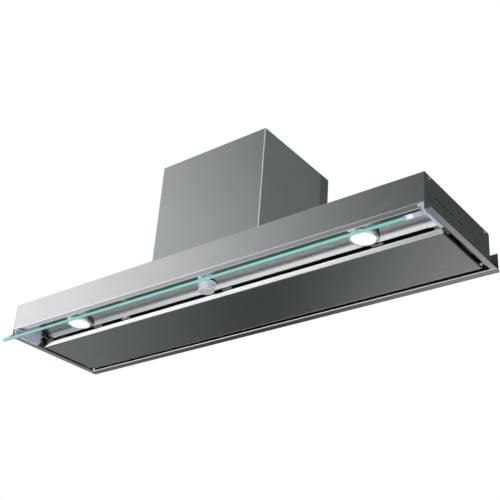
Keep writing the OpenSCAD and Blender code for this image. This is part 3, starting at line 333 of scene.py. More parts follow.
def brushed_effect():
    """Long fine scratches of brushed sheet, broad clouding and faint hand marks."""
    tree, given, result = effect(
        "brushed_sheet",
        [
            ("Colour", COLOUR, (0.8, 0.8, 0.8, 1.0)),
            ("Grain", VECTOR, (6.0, 900.0, 900.0)),
            ("Streak", FLOAT, 0.12),
            ("Roughness", FLOAT, 0.3),
            ("Marks", FLOAT, 0.3),
        ],
        [("Colour", COLOUR), ("Roughness", FLOAT), ("Height", FLOAT)],
    )
    where = add(tree, "ShaderNodeTexCoord").outputs["Object"]
    lines = noise(tree, stretch(tree, where, given["Grain"]), 1.0, 4.0, 0.65)
    clouds = noise(tree, where, 7.0, 3.0, 0.5, 0.4)
    marks = ramp(tree, noise(tree, where, 21.0, 4.0, 0.6, 1.2), 0.56, 0.74)
    darker = math_node(tree, "SUBTRACT", 1.0, given["Streak"])
    shade = add(
        tree,
        "ShaderNodeMapRange",
        {"Value": lines, "From Min": 0.3, "From Max": 0.7, "To Min": darker, "To Max": 1.0},
    ).outputs["Result"]
    cloud_shade = ramp(tree, clouds, 0.3, 0.7, 0.96, 1.0)
    shade = math_node(tree, "MULTIPLY", shade, cloud_shade)
    tree.links.new(shaded(tree, given["Colour"], shade), result["Colour"])
    rough = math_node(tree, "MULTIPLY_ADD", lines, 0.10)
    rough.node.inputs[2].default_value = -0.05
    rough = math_node(tree, "ADD", rough, given["Roughness"])
    worn = math_node(tree, "MULTIPLY", marks, given["Marks"])
    rough = math_node(tree, "ADD", rough, math_node(tree, "MULTIPLY", worn, 0.18))
    tree.links.new(rough, result["Roughness"])
    tree.links.new(lines, result["Height"])
    return tree


def moulded_effect():
    """Fine mould grain of plastic, slight shade changes and scuffs."""
    tree, given, result = effect(
        "moulded_grain",
        [
            ("Colour", COLOUR, (0.5, 0.5, 0.5, 1.0)),
            ("Grain size", FLOAT, 2600.0),
            ("Shade", FLOAT, 0.08),
            ("Roughness", FLOAT, 0.45),
        ],
        [("Colour", COLOUR), ("Roughness", FLOAT), ("Height", FLOAT)],
    )
    where = add(tree, "ShaderNodeTexCoord").outputs["Object"]
    grains = add(
        tree, "ShaderNodeTexVoronoi", {"Vector": where, "Scale": given["Grain size"]}
    ).outputs["Distance"]
    clouds = noise(tree, where, 40.0, 3.0)
    scuffs = ramp(tree, noise(tree, where, 120.0, 5.0, 0.7, 2.0), 0.60, 0.78)
    low = math_node(tree, "SUBTRACT", 1.0, given["Shade"])
    shade = add(
        tree,
        "ShaderNodeMapRange",
        {"Value": clouds, "From Min": 0.3, "From Max": 0.7, "To Min": low, "To Max": 1.0},
    ).outputs["Result"]
    tree.links.new(shaded(tree, given["Colour"], shade), result["Colour"])
    rough = math_node(tree, "MULTIPLY_ADD", scuffs, 0.12)
    tree.links.new(given["Roughness"], rough.node.inputs[2])
    tree.links.new(rough, result["Roughness"])
    tree.links.new(grains, result["Height"])
    return tree


def spangle_effect():
    """Crystals of zinc on coated sheet, with a dull bloom."""
    tree, given, result = effect(
        "zinc_spangle",
        [
            ("Colour", COLOUR, (0.6, 0.6, 0.6, 1.0)),
            ("Crystal size", FLOAT, 140.0),
            ("Contrast", FLOAT, 0.12),
            ("Roughness", FLOAT, 0.38),
        ],
        [("Colour", COLOUR), ("Roughness", FLOAT), ("Height", FLOAT)],
    )
    where = add(tree, "ShaderNodeTexCoord").outputs["Object"]
    warped = add(
        tree,
        "ShaderNodeVectorMath",
        {0: where, 1: (0.02, 0.02, 0.02)},
        operation="ADD",
    ).outputs[0]
    cells = add(
        tree,
        "ShaderNodeTexVoronoi",
        {"Vector": warped, "Scale": given["Crystal size"], "Randomness": 1.0},
    )
    facet = add(tree, "ShaderNodeSeparateColor", {0: cells.outputs["Color"]}).outputs[0]
    bloom = noise(tree, where, 11.0, 4.0, 0.6, 0.8)
    low = math_node(tree, "SUBTRACT", 1.0, given["Contrast"])
    shade = add(
        tree,
        "ShaderNodeMapRange",
        {"Value": facet, "From Min": 0.0, "From Max": 1.0, "To Min": low, "To Max": 1.0},
    ).outputs["Result"]
    shade = math_node(tree, "MULTIPLY", shade, ramp(tree, bloom, 0.3, 0.7, 0.93, 1.0))
    tree.links.new(shaded(tree, given["Colour"], shade), result["Colour"])
    rough = math_node(tree, "MULTIPLY_ADD", facet, 0.10)
    tree.links.new(given["Roughness"], rough.node.inputs[2])
    tree.links.new(rough, result["Roughness"])
    tree.links.new(facet, result["Height"])
    return tree


BRUSHED = brushed_effect()
MOULDED = moulded_effect()
SPANGLE = spangle_effect()


# --------------------------------------------------------------- materials


def finish(name, group, values, bump=0.2, depth=0.00002, **plain):
    """A material: one shared effect feeds colour, roughness and bump."""
    made = bpy.data.materials.new(name)
    made.use_nodes = True
    tree = made.node_tree
    shader = tree.nodes["Principled BSDF"]
    detail = tree.nodes.new("ShaderNodeGroup")
    detail.node_tree = group
    for label, value in values.items():
        detail.inputs[label].default_value = value
    tree.links.new(detail.outputs["Colour"], shader.inputs["Base Color"])
    tree.links.new(detail.outputs["Roughness"], shader.inputs["Roughness"])
    relief = add(
        tree,
        "ShaderNodeBump",
        {"Height": detail.outputs["Height"], "Strength": bump, "Distance": depth},
    )
    tree.links.new(relief.outputs["Normal"], shader.inputs["Normal"])
    for label, value in plain.items():
        shader.inputs[label.replace("_", " ")].default_value = value
    return made


def steel(name, colour, grain, streak=0.10, roughness=0.30, marks=0.3, bump=0.25):
    return finish(
        name,
        BRUSHED,
        {
            "Colour": (*colour, 1.0),
            "Grain": grain,
            "Streak": streak,
            "Roughness": roughness,
            "Marks": marks,
        },
        bump=bump,
        depth=0.00003,
        Metallic=1.0,
    )


def plastic(name, colour, roughness=0.45, size=2600.0, shade=0.06, bump=0.15, **plain):
    return finish(
        name,
        MOULDED,
        {
            "Colour": (*colour, 1.0),
            "Grain size": size,
            "Shade": shade,
            "Roughness": roughness,
        },
        bump=bump,
        depth=0.00005,
        **plain,
    )


def coated(name, colour, size=140.0, contrast=0.10, roughness=0.36, bump=0.12):
    return finish(
        name,
        SPANGLE,
        {
            "Colour": (*colour, 1.0),
            "Crystal size": size,
            "Contrast": contrast,
            "Roughness": roughness,
        },
        bump=bump,
        depth=0.00002,
        Metallic=1.0,
    )


def place_along(tree, axis):
    """Where a point of the surface lies along one of the object's axes."""
    where = add(tree, "ShaderNodeTexCoord").outputs["Object"]
    return add(tree, "ShaderNodeSeparateXYZ", {"Vector": where}).outputs[axis]


def facing_along(tree, axis):
    """How far the surface faces along one of the axes."""
    facing = add(tree, "ShaderNodeNewGeometry").outputs["Normal"]
    return add(tree, "ShaderNodeSeparateXYZ", {"Vector": facing}).outputs[axis]


def push_normal(made, push):
    """Leans the shading normal that the coat's relief starts from.

    The sheet itself stays flat. Each lean was set on the photograph's view, where the
    plain face mirrored something darker than the photograph shows.
    """
    tree = made.node_tree
    facing = add(tree, "ShaderNodeNewGeometry").outputs["Normal"]
    pushed = add(tree, "ShaderNodeVectorMath", {0: facing, 1: push}, operation="ADD")
    straight = add(
        tree, "ShaderNodeVectorMath", {0: pushed.outputs[0]}, operation="NORMALIZE"
    )
    relief = next(node for node in tree.nodes if node.bl_idname == "ShaderNodeBump")
    tree.links.new(straight.outputs[0], relief.inputs["Normal"])
    return made


def paint_fold_highlights(made, near, far):
    """Two painted highlight lines in the hem's colour, along its front and its rear fold.
    """
    tree = made.node_tree
    shader = tree.nodes["Principled BSDF"]
    along = place_along(tree, 1)
    front = ramp(tree, along, near + 1.3 * MM, near + 2.3 * MM, 1.0, 0.0)
    rear = ramp(tree, along, far - 2.3 * MM, far - 1.3 * MM)
    line = math_node(tree, "MAXIMUM", front, rear)
    sheet = shader.inputs["Base Color"].links[0].from_socket
    # Painted highlight: near white is mixed into the base colour along both folds.
    colour = mix_colour(tree, line, sheet, (0.95, 0.96, 0.97, 1.0))
    tree.links.new(colour, shader.inputs["Base Color"])
    return made


def bright_corner(made):
    """A band at the box's front right corner is shaded as if it turned right."""
    tree = made.node_tree
    start, end = (spot(x, 0, 0).x for x in BOX_CORNER_X)
    turn = ramp(tree, place_along(tree, 0), start, end)
    front = facing_along(tree, 1)
    turn = math_node(tree, "MULTIPLY", turn, ramp(tree, front, -0.95, -0.8, 1.0, 0.0))
    return push_normal(made, add(tree, "ShaderNodeCombineXYZ", {"X": turn}).outputs[0])


def lean_tray(made):
    """The rear of the trough is shaded as if it faced more to the front."""
    tree = made.node_tree
    start, end = (spot(0, y, 0).y for y in TRAY_LEAN_Y)
    lean = ramp(tree, place_along(tree, 1), start, end, 0.0, -TRAY_LEAN)
    down = facing_along(tree, 2)
    lean = math_node(tree, "MULTIPLY", lean, ramp(tree, down, -0.95, -0.8, 1.0, 0.0))
    return push_normal(made, add(tree, "ShaderNodeCombineXYZ", {"Y": lean}).outputs[0])


def glass_finishes():
    """The visor's clear faces and the green of its ground edges."""
    clear = bpy.data.materials.new("visor_glass_clear")
    clear.use_nodes = True
    tree = clear.node_tree
    shader = tree.nodes["Principled BSDF"]
    where = add(tree, "ShaderNodeTexCoord").outputs["Object"]
    smear = ramp(tree, noise(tree, where, 9.0, 4.0, 0.6, 1.5), 0.5, 0.8, 0.02, 0.07)
    tint = mix_colour(
        tree, noise(tree, where, 3.0), (0.93, 0.975, 0.965, 1.0), (0.96, 0.99, 0.985, 1.0)
    )
    tree.links.new(tint, shader.inputs["Base Color"])
    tree.links.new(smear, shader.inputs["Roughness"])
    shader.inputs["Metallic"].default_value = 0.0
    shader.inputs["Transmission Weight"].default_value = 1.0
    shader.inputs["IOR"].default_value = 1.46
    edge = bpy.data.materials.new("visor_glass_edge")
    edge.use_nodes = True
    tree = edge.node_tree
    shader = tree.nodes["Principled BSDF"]
    where = add(tree, "ShaderNodeTexCoord").outputs["Object"]
    bands = noise(tree, stretch(tree, where, (5.0, 260.0, 260.0)), 1.0, 3.0)
    green = mix_colour(tree, bands, (0.13, 0.44, 0.40, 1.0), (0.27, 0.70, 0.66, 1.0))
    tree.links.new(green, shader.inputs["Base Color"])
    rough = ramp(tree, noise(tree, where, 300.0, 3.0), 0.3, 0.7, 0.18, 0.34)
    tree.links.new(rough, shader.inputs["Roughness"])
    return clear, edge


def lens_finish():
    """Frosted white lens with a soft glow."""
    made = bpy.data.materials.new("frosted_lens")
    made.use_nodes = True
    tree = made.node_tree
    shader = tree.nodes["Principled BSDF"]
    where = add(tree, "ShaderNodeTexCoord").outputs["Object"]
    frost = noise(tree, where, 900.0, 3.0)
    colour = mix_colour(tree, frost, (0.86, 0.89, 0.94, 1.0), (0.95, 0.97, 1.0, 1.0))
    tree.links.new(colour, shader.inputs["Base Color"])
    rough = ramp(tree, frost, 0.3, 0.7, 0.35, 0.5)
    tree.links.new(rough, shader.inputs["Roughness"])
    tree.links.new(colour, shader.inputs["Emission Color"])
    shader.inputs["Emission Strength"].default_value = 0.35
    return made


STEEL = (0.80, 0.81, 0.82)
ALONG_X = (5.0, 1100.0, 1100.0)
ALONG_Y = (1100.0, 5.0, 1100.0)
CLEAR_GLASS, GREEN_EDGE = glass_finishes()
FINISH = {
    "stainless": steel("front_steel", STEEL, ALONG_X),
    "galvanised": coated("zinc_coated_sheet", (0.70, 0.72, 0.73)),
    # Painted shade: the suction panel's steel is a dark copy of the brushed steel, about a
    # third of the front's brightness.
    "panel_steel": steel(
        "panel_steel", (0.27, 0.28, 0.285), ALONG_X, 0.06, 0.28, 0.05, 0.08
    ),
    "reflector": steel(
        "reflector_steel", (0.80, 0.82, 0.82), ALONG_X, 0.05, 0.16, 0.2, 0.12
    ),
    "grey_plastic": plastic("blue_grey_plastic", (0.44, 0.48, 0.56), 0.42),
    "white_plastic": plastic("white_plastic", (0.82, 0.84, 0.87), 0.32),
    "black_plastic": plastic("black_plastic", (0.028, 0.028, 0.032), 0.48, shade=0.25),
    "knob_metal": plastic(
        "silver_coat", (0.86, 0.90, 0.98), 0.24, 5200.0, 0.03, 0.05, Metallic=0.6
    ),
    "lamp_ring": plastic(
        "lamp_chrome", (0.86, 0.88, 0.90), 0.12, 5200.0, 0.04, 0.03, Metallic=1.0
    ),
    "lens": lens_finish(),
    "visor_glass": CLEAR_GLASS,
    "aluminium": steel("satin_aluminium", (0.74, 0.76, 0.80), ALONG_Y, 0.08, 0.34),
    "mesh": steel("filter_aluminium", (0.60, 0.61, 0.62), ALONG_Y, 0.14, 0.38),
    "zinc": coated("bright_zinc", (0.66, 0.68, 0.70), 900.0, 0.16, 0.30),
    "fibre_board": plastic("pressed_fibre", (0.05, 0.05, 0.055), 0.85, 700.0, 0.4, 0.5),
    "scroll_plastic": plastic("dark_grey_plastic", (0.06, 0.065, 0.07), 0.5, shade=0.2),
}
# Painted shade: darker copies of the brushed steel, one tone per part; the sides, back, top
# and the box's rear and top at half the front's brightness, the box cover at three
# quarters, the filler strip at under a third.
SIDE_STEEL = steel("side_steel", (0.40, 0.41, 0.42), ALONG_Y, 0.08, 0.30, 0.1)
BOX_STEEL = bright_corner(
    steel("box_steel", (0.60, 0.62, 0.63), ALONG_X, 0.05, 0.33, 0.1, 0.08)
)
STRIP_STEEL = steel("strip_steel", (0.24, 0.25, 0.255), ALONG_X, 0.08, 0.26, 0.15)
# Painted highlight: a near-white copy of the steel (0.76 against the panel's 0.27) with a
# leaned shading normal, for the suction panel's front face and the filler's bead.
EDGE_PAINTED_HIGHLIGHT = push_normal(
    steel("painted_highlight_edge", (0.76, 0.77, 0.78), ALONG_X, 0.06, 0.24, 0.15), (0.0, -0.9, -0.9)
)
# Painted shade: the hem is the front's own sheet, but its coat is that steel at half the
# brightness (0.40 against 0.80); it also gets painted highlight lines along its folds.
HEM_SHADE_AND_HIGHLIGHTS = push_normal(
    steel("hem_steel_painted_shade_and_highlights", (0.40, 0.41, 0.42), ALONG_X, 0.08, 0.30, 0.1, 0.1),
    (0.0, -2.0, 0.0),
)
paint_fold_highlights(HEM_SHADE_AND_HIGHLIGHTS, spot(0, 0, 0).y, spot(0, HEM_DEPTH, 0).y)
TRAY_STEEL = lean_tray(
    steel("tray_steel", (0.80, 0.82, 0.82), ALONG_X, 0.05, 0.21, 0.1, 0.06)
)


# ------------------------------------------------------------- mesh makers


def new_piece(name, mesh, body, slot, *replaced, coat=None):
    piece = bpy.data.objects.new(name, mesh)
    bpy.context.scene.collection.objects.link(piece)
    if not len(mesh.materials):
        mesh.materials.append(coat or FINISH[slot])
    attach(piece, body)
    if replaced:
        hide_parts(*replaced)
    return piece


def to_mesh(name, shell, smooth=35.0):
    """The shell as a mesh, smooth except at sharp edges.

    Flat faces keep their own normals.
    """
    mesh = bpy.data.meshes.new(name + "_rough")
    shell.to_mesh(mesh)
    shell.free()
    mesh.shade_smooth()
    mesh.set_sharp_from_angle(angle=math.radians(smooth))
    carrier = bpy.data.objects.new(name + "_carrier", mesh)
    bpy.context.scene.collection.objects.link(carrier)
    even = carrier.modifiers.new("even", "WEIGHTED_NORMAL")
    even.keep_sharp = True
    even.weight = 90
    bpy.context.view_layer.update()
    final = bpy.data.meshes.new_from_object(
        carrier.evaluated_get(bpy.context.evaluated_depsgraph_get())
    )
    final.name = name
    bpy.data.objects.remove(carrier)
    bpy.data.meshes.remove(mesh)
    return final


def merged(node):
    """A merged copy of a node's triangles, with its flat faces joined again."""
    shell = bmesh.new()
    shell.from_mesh(frame["nodes"][node].data)
    bmesh.ops.remove_doubles(shell, verts=shell.verts, dist=2e-6)
    bmesh.ops.dissolve_limit(
        shell,
        angle_limit=math.radians(0.6),
        verts=shell.verts,
        edges=shell.edges,
        use_dissolve_boundaries=False,
    )
    return shell


def dressed(node, coat=None, soften=0.3, steps=2, angle=40.0, split=None):
    """The node's own shape with softened edges; past a split it has a second coat."""
    shell = merged(node)
    if soften:
        folds = [
            edge
            for edge in shell.edges
            if len(edge.link_faces) == 2
            and edge.calc_face_angle(0.0) > math.radians(angle)
        ]
        bmesh.ops.bevel(
            shell,
            geom=folds,
            offset=soften * MM,
            offset_type="OFFSET",
            segments=steps,
            profile=0.5,
            affect="EDGES",
            clamp_overlap=True,
        )
        bmesh.ops.remove_doubles(shell, verts=shell.verts, dist=1e-7)
    if split:
        point, way, second = split
        bmesh.ops.bisect_plane(
            shell,
            geom=[*shell.verts, *shell.edges, *shell.faces],
            plane_co=point,
            plane_no=way,
        )
        for face in shell.faces:
            face.material_index = int((face.calc_center_median() - point).dot(way) > 0)
    mesh = to_mesh(node + "_mesh", shell)
    if split:
        mesh.materials.append(coat or FINISH[SLOT_OF[node]])
        mesh.materials.append(second)
    return new_piece(
        node + "_dressed", mesh, BODY_OF[node], SLOT_OF[node], node, coat=coat
    )


def turned(profile, centre, steps=112):
    """A body of revolution about an upright axis, from a closed section."""
    shell = bmesh.new()
    rings = []
    for radius, height in profile:
        if radius < 1e-9:
            ring = [shell.verts.new((centre[0], centre[1], height))]
        else:
            ring = [
                shell.verts.new(
                    (
                        centre[0] + radius * math.cos(2 * math.pi * i / steps),
                        centre[1] + radius * math.sin(2 * math.pi * i / steps),
                        height,
                    )
                )
                for i in range(steps)
            ]
        rings.append(ring)
    closed = profile[0][0] > 1e-9
    pairs = list(zip(rings, rings[1:])) + ([(rings[-1], rings[0])] if closed else [])
    for low, high in pairs:
        for i in range(steps):
            j = (i + 1) % steps
            loop = [low[i % len(low)], low[j % len(low)], high[j % len(high)]]
            loop.append(high[i % len(high)])
            face = list(dict.fromkeys(loop))
            if len(face) > 2:
                shell.faces.new(face)
    bmesh.ops.recalc_face_normals(shell, faces=shell.faces)
    return shell


set_camera()
set_world()
set_floor()
set_lamps()

# ------------------------------------------------------- coats of the nodes

for node, thing in frame["nodes"].items():
    thing.data.materials.clear()
    thing.data.materials.append(FINISH[SLOT_OF[node]])

FINE = 0.12
DRESSED = {
    "light_tray": (TRAY_STEEL, 0.2),
    "tray_end_left": (TRAY_STEEL, 0.2),
    "tray_end_right": (TRAY_STEEL, 0.2),
    "side_panel_left": (SIDE_STEEL, FINE),
    "side_panel_right": (SIDE_STEEL, FINE),
    "back_panel": (SIDE_STEEL, 0.3),
    "top_plate": (SIDE_STEEL, 0.3),
    "box_cover": (BOX_STEEL, 0.3),
    "box_rear": (SIDE_STEEL, 0.3),
    "box_top": (SIDE_STEEL, 0.2),
    "visor_cheek_left": (None, 0.5),
    "visor_cheek_right": (None, 0.5),
    "filter_deck": (None, 0.3),
    "filter_frame_left": (None, 0.3),
    "filter_frame_right": (None, 0.3),
    "panel_catch_left": (None, 0.4),
    "panel_catch_right": (None, 0.4),
    "hinge_bracket_left": (None, 0.3),
    "hinge_bracket_right": (None, 0.3),
    "knob": (None, 0.4),
    "knob_collar": (None, 0.3),
    "duct_collar": (None, 0.4),
    "control_lid": (None, 0.5),
    "control_box": (None, 0.5),
}
for node, (coat, soften) in DRESSED.items():
    dressed(node, coat, soften)
FRONTWARDS = Vector((0.0, -1.0, 0.0))
DOWNWARDS = Vector((0.0, 0.0, -1.0))
# Below the split, the front panel's hem takes the painted-shade coat.
dressed("front_panel", split=(spot(0, 0, HEM_SPLIT_Z), DOWNWARDS, HEM_SHADE_AND_HIGHLIGHTS))
# The suction panel's front face, in front of the split, takes the painted-highlight coat.
panel = dressed(
    "suction_panel", split=(spot(0, PANEL_FACE_Y, 0), FRONTWARDS, EDGE_PAINTED_HIGHLIGHT)
)
for corner in panel.data.vertices:
    if corner.co.y > spot(0, PANEL_RIM_Y, 0).y:
        corner.co.y += PANEL_RIM_LONGER * MM
# The filler's front, up to the bead's end, takes the painted-highlight coat.
dressed(
    "rear_filler",
    STRIP_STEEL,
    0.2,
    split=(spot(0, BEAD_END_Y, 0), FRONTWARDS, EDGE_PAINTED_HIGHLIGHT),
)

VISOR_TILT = math.radians(34.5)
VISOR_PIVOT = spot(0.0, 12.0, 1.0)
VISOR_WAY = Vector((0.0, -math.cos(VISOR_TILT), -math.sin(VISOR_TILT)))
CAP_START = VISOR_PIVOT + VISOR_WAY * 48.5 * MM
for side in ("left", "right"):
    for part in ("visor_arm_", "glass_clip_"):
        dressed(
            part + side,
            FINISH["grey_plastic"],
            0.5,
            split=(CAP_START, VISOR_WAY, FINISH["white_plastic"]),
        )


def lamp(side):
    """A chrome ring with a rolled rim and a groove, round a frosted cup lens."""
    low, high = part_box("lamp_bezel_" + side)
    centre = (low + high) / 2
    outer = (high.x - low.x) / 2
    lens_low, lens_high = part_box("lamp_lens_" + side)
    inner = (lens_high.x - lens_low.x) / 2 + 0.3 * MM
    top, base = high.z, low.z
    ring = [
        (inner, top),
        (inner, base + 1.4 * MM),
        (inner + 0.5 * MM, base + 0.6 * MM),
        (inner + 1.3 * MM, base + 0.1 * MM),
        (inner + 2.2 * MM, base),
        (inner + 2.9 * MM, base + 0.25 * MM),
        (inner + 3.1 * MM, base + 0.9 * MM),
        (inner + 3.5 * MM, base + 0.9 * MM),
        (inner + 3.7 * MM, base + 0.3 * MM),
        (outer - 2.4 * MM, base + 0.2 * MM),
        (outer - 1.5 * MM, base + 0.6 * MM),
        (outer - 0.7 * MM, base + 1.6 * MM),
        (outer - 0.2 * MM, base + 2.7 * MM),
        (outer, base + 3.4 * MM),
        (outer, top),
    ]
    mesh = to_mesh("lamp_ring_mesh_" + side, turned(ring, centre, 128), 50.0)
    new_piece("lamp_ring_" + side, mesh, "housing", "lamp_ring", "lamp_bezel_" + side)
    radius, under = inner - 0.3 * MM, lens_low.z
    cup = [
        (0.0, under + 0.1 * MM),
        (radius * 0.6, under + 0.05 * MM),
        (radius - 1.6 * MM, under),
        (radius - 0.6 * MM, under + 0.2 * MM),
        (radius, under + 0.9 * MM),
        (radius, lens_high.z),
        (radius - 1.6 * MM, lens_high.z),
        (radius - 1.6 * MM, under + 1.8 * MM),
        (0.0, under + 1.8 * MM),
    ]
    mesh = to_mesh("lamp_glass_mesh_" + side, turned(cup, centre, 128), 40.0)
    new_piece("lamp_glass_" + side, mesh, "housing", "lens", "lamp_lens_" + side)


lamp("left")
lamp("right")


def bars(name, coat, slot, corners):
    """Small plain plates, each between two corners, as one piece of the housing."""
    shell = bmesh.new()
    for low, high in corners:
        middle, size = (low + high) / 2, high - low
        place = Matrix.Translation(middle) @ Matrix.Diagonal((*size, 1.0))
        bmesh.ops.create_cube(shell, size=1.0, matrix=place)
    mesh = to_mesh(name + "_mesh", shell)
    return new_piece(name, mesh, "housing", slot, coat=coat)


def spacer_tabs():
    """Pale spacer strips on the slot's edge, each with two fine ribs."""
    parts = []
    for x in TAB_X:
        for y0, y1, z0, z1 in (
            (103.2, 106.4, 21.0, 22.0),
            (103.5, 104.1, 20.5, 21.0),
            (105.3, 105.9, 20.5, 21.0),
        ):
            parts.append((spot(x - TAB_HALF, y0, z0), spot(x + TAB_HALF, y1, z1)))
    bars("spacer_tabs", FINISH["white_plastic"], "reflector", parts)


spacer_tabs()


# ------------------------------------------------------- repeated details


def tree_with(name, inputs):
    """An empty geometry tree with its named inputs, given values and output."""
    tree = bpy.data.node_groups.new(name, "GeometryNodeTree")
    tree.interface.new_socket(
        "Geometry", in_out="INPUT", socket_type="NodeSocketGeometry"
    )
    for label, kind, value in inputs:
        socket = tree.interface.new_socket(label, in_out="INPUT", socket_type=kind)
        if value is not None:
            socket.default_value = value
    tree.interface.new_socket(
        "Geometry", in_out="OUTPUT", socket_type="NodeSocketGeometry"
    )
    given = tree.nodes.new("NodeGroupInput")
    result = tree.nodes.new("NodeGroupOutput")
    return tree, given.outputs, result.inputs


def close_tree(tree, geometry, coat, result):
    """Every tree ends in real mesh with its coat."""
    real = add(tree, "GeometryNodeRealizeInstances", {"Geometry": geometry})
    coated_mesh = add(
        tree,
        "GeometryNodeSetMaterial",
        {"Geometry": real.outputs["Geometry"], "Material": coat},
    )
    tree.links.new(coated_mesh.outputs["Geometry"], result["Geometry"])


def rows_tree():
    """Copies of one strand side by side, at an even pitch."""
    tree, given, result = tree_with(
        "strand_rows",
        [
            ("Strand", "NodeSocketObject", None),
            ("Rows", "NodeSocketInt", 10),
            ("Pitch", "NodeSocketFloat", 0.005),
            ("Coat", "NodeSocketMaterial", None),
        ],
    )
    step = add(tree, "ShaderNodeCombineXYZ", {"Y": given["Pitch"]}).outputs[0]
    line = add(tree, "GeometryNodeMeshLine", {"Count": given["Rows"], "Offset": step})
    strand = add(tree, "GeometryNodeObjectInfo", {"Object": given["Strand"]})
    rows = add(
        tree,
        "GeometryNodeInstanceOnPoints",
        {
            "Points": line.outputs["Mesh"],
            "Instance": strand.outputs["Geometry"],
        },
    )
    close_tree(tree, rows.outputs["Instances"], given["Coat"], result)
    return tree


def heads_tree():
    """One head on every point, facing a given way, or with Both ways outwards in x."""
    tree, given, result = tree_with(
        "heads_on_points",
        [
            ("Head", "NodeSocketObject", None),
            ("Facing", "NodeSocketVector", (0.0, 0.0, 1.0)),
            ("Both ways", "NodeSocketFloat", 0.0),
            ("Turn seed", "NodeSocketInt", 3),
            ("Coat", "NodeSocketMaterial", None),
        ],
    )
    place = add(tree, "GeometryNodeInputPosition").outputs[0]
    along = add(tree, "ShaderNodeSeparateXYZ", {"Vector": place}).outputs[0]
    side = math_node(tree, "SIGN", along)
    side = math_node(tree, "MULTIPLY_ADD", side, given["Both ways"])
    plain = math_node(tree, "SUBTRACT", 1.0, given["Both ways"])
    tree.links.new(plain, side.node.inputs[2])
    facing = add(tree, "ShaderNodeVectorMath", {0: given["Facing"]}, operation="SCALE")
    tree.links.new(side, facing.inputs["Scale"])
    aim = add(
        tree,
        "FunctionNodeAlignRotationToVector",
        {"Vector": facing.outputs[0]},
        axis="Z",
    )
    turn = add(
        tree,
        "FunctionNodeRandomValue",
        {"Seed": given["Turn seed"]},
        data_type="FLOAT",
    )
    turn.inputs[2].default_value = 0.0
    turn.inputs[3].default_value = 1.5
    spin = add(
        tree,
        "FunctionNodeAxisAngleToRotation",
        {"Axis": (0.0, 0.0, 1.0), "Angle": turn.outputs[1]},
    )
    both = add(
        tree,
        "FunctionNodeRotateRotation",
        {"Rotation": aim.outputs[0], "Rotate By": spin.outputs[0]},
        rotation_space="LOCAL",
    )
    head = add(tree, "GeometryNodeObjectInfo", {"Object": given["Head"]})
    heads = add(
        tree,
        "GeometryNodeInstanceOnPoints",
        {
            "Points": given["Geometry"],
            "Instance": head.outputs["Geometry"],
            "Rotation": both.outputs[0],
        },
    )
    close_tree(tree, heads.outputs["Instances"], given["Coat"], result)
    return tree


ROWS = rows_tree()
HEADS = heads_tree()


def grown(name, tree, host, values):
    """Runs a tree on a host mesh with its inputs and returns the plain mesh."""
    carrier = bpy.data.objects.new(name + "_host", host)
    bpy.context.scene.collection.objects.link(carrier)
    modifier = carrier.modifiers.new("repeat", "NODES")
    modifier.node_group = tree
    for item in tree.interface.items_tree:
        if item.in_out == "INPUT" and item.name in values:
            modifier[item.identifier] = values[item.name]
    bpy.context.view_layer.update()
    grown_mesh = bpy.data.meshes.new_from_object(
        carrier.evaluated_get(bpy.context.evaluated_depsgraph_get())
    )
    grown_mesh.name = name + "_mesh"
    carrier.modifiers.clear()
    bpy.data.objects.remove(carrier)
    return grown_mesh


def helper(name, mesh):
    """A shape that a tree copies. It is taken away again once the copies are made."""
    shape = bpy.data.objects.new(name, mesh)
    bpy.context.scene.collection.objects.link(shape)
    return shape


def cross_head(radius, height):
    """Pan head of a screw with a cross recess, its seat at the origin, facing +z."""
    shell = bmesh.new()
    steps = 24
    arm, half = radius * 0.52, radius * 0.15
    cross = [
        (arm, half), (half, half), (half, arm), (-half, arm), (-half, half), (-arm, half),
        (-arm, -half), (-half, -half), (-half, -arm), (half, -arm), (half, -half),
        (arm, -half),
    ]
    rings = []
    for r, z in (
        (radius, 0.0),
        (radius, height * 0.3),
        (radius * 0.9, height * 0.72),
        (radius * 0.68, height * 0.95),
        (radius * 0.6, height),
    ):
        rings.append(
            [
                shell.verts.new(
                    (
                        r * math.cos(2 * math.pi * i / steps),
                        r * math.sin(2 * math.pi * i / steps),
                        z,
                    )
                )
                for i in range(steps)
            ]
        )
    shell.faces.new(list(reversed(rings[0])))
    for low, high in zip(rings, rings[1:]):
        for i in range(steps):
            j = (i + 1) % steps
            shell.faces.new([low[i], low[j], high[j], high[i]])
    lip = [shell.verts.new((x, y, height)) for x, y in cross]
    floor = [shell.verts.new((x * 0.7, y * 0.7, height * 0.35)) for x, y in cross]
    rim = rings[-1]
    edges = [shell.edges.get((a, b)) for a, b in zip(rim, rim[1:] + rim[:1])]
    for a, b in zip(lip, lip[1:] + lip[:1]):
        edges.append(shell.edges.new((a, b)))
    bmesh.ops.triangle_fill(shell, edges=edges, use_beauty=True)
    for i in range(len(lip)):
        j = (i + 1) % len(lip)
        shell.faces.new([lip[j], lip[i], floor[i], floor[j]])
    shell.faces.new(floor)
    bmesh.ops.recalc_face_normals(shell, faces=shell.faces)
    return to_mesh("cross_head", shell, 30.0)


def points(name, places):
    mesh = bpy.data.meshes.new(name)
    mesh.from_pydata([tuple(place) for place in places], [], [])
    return mesh


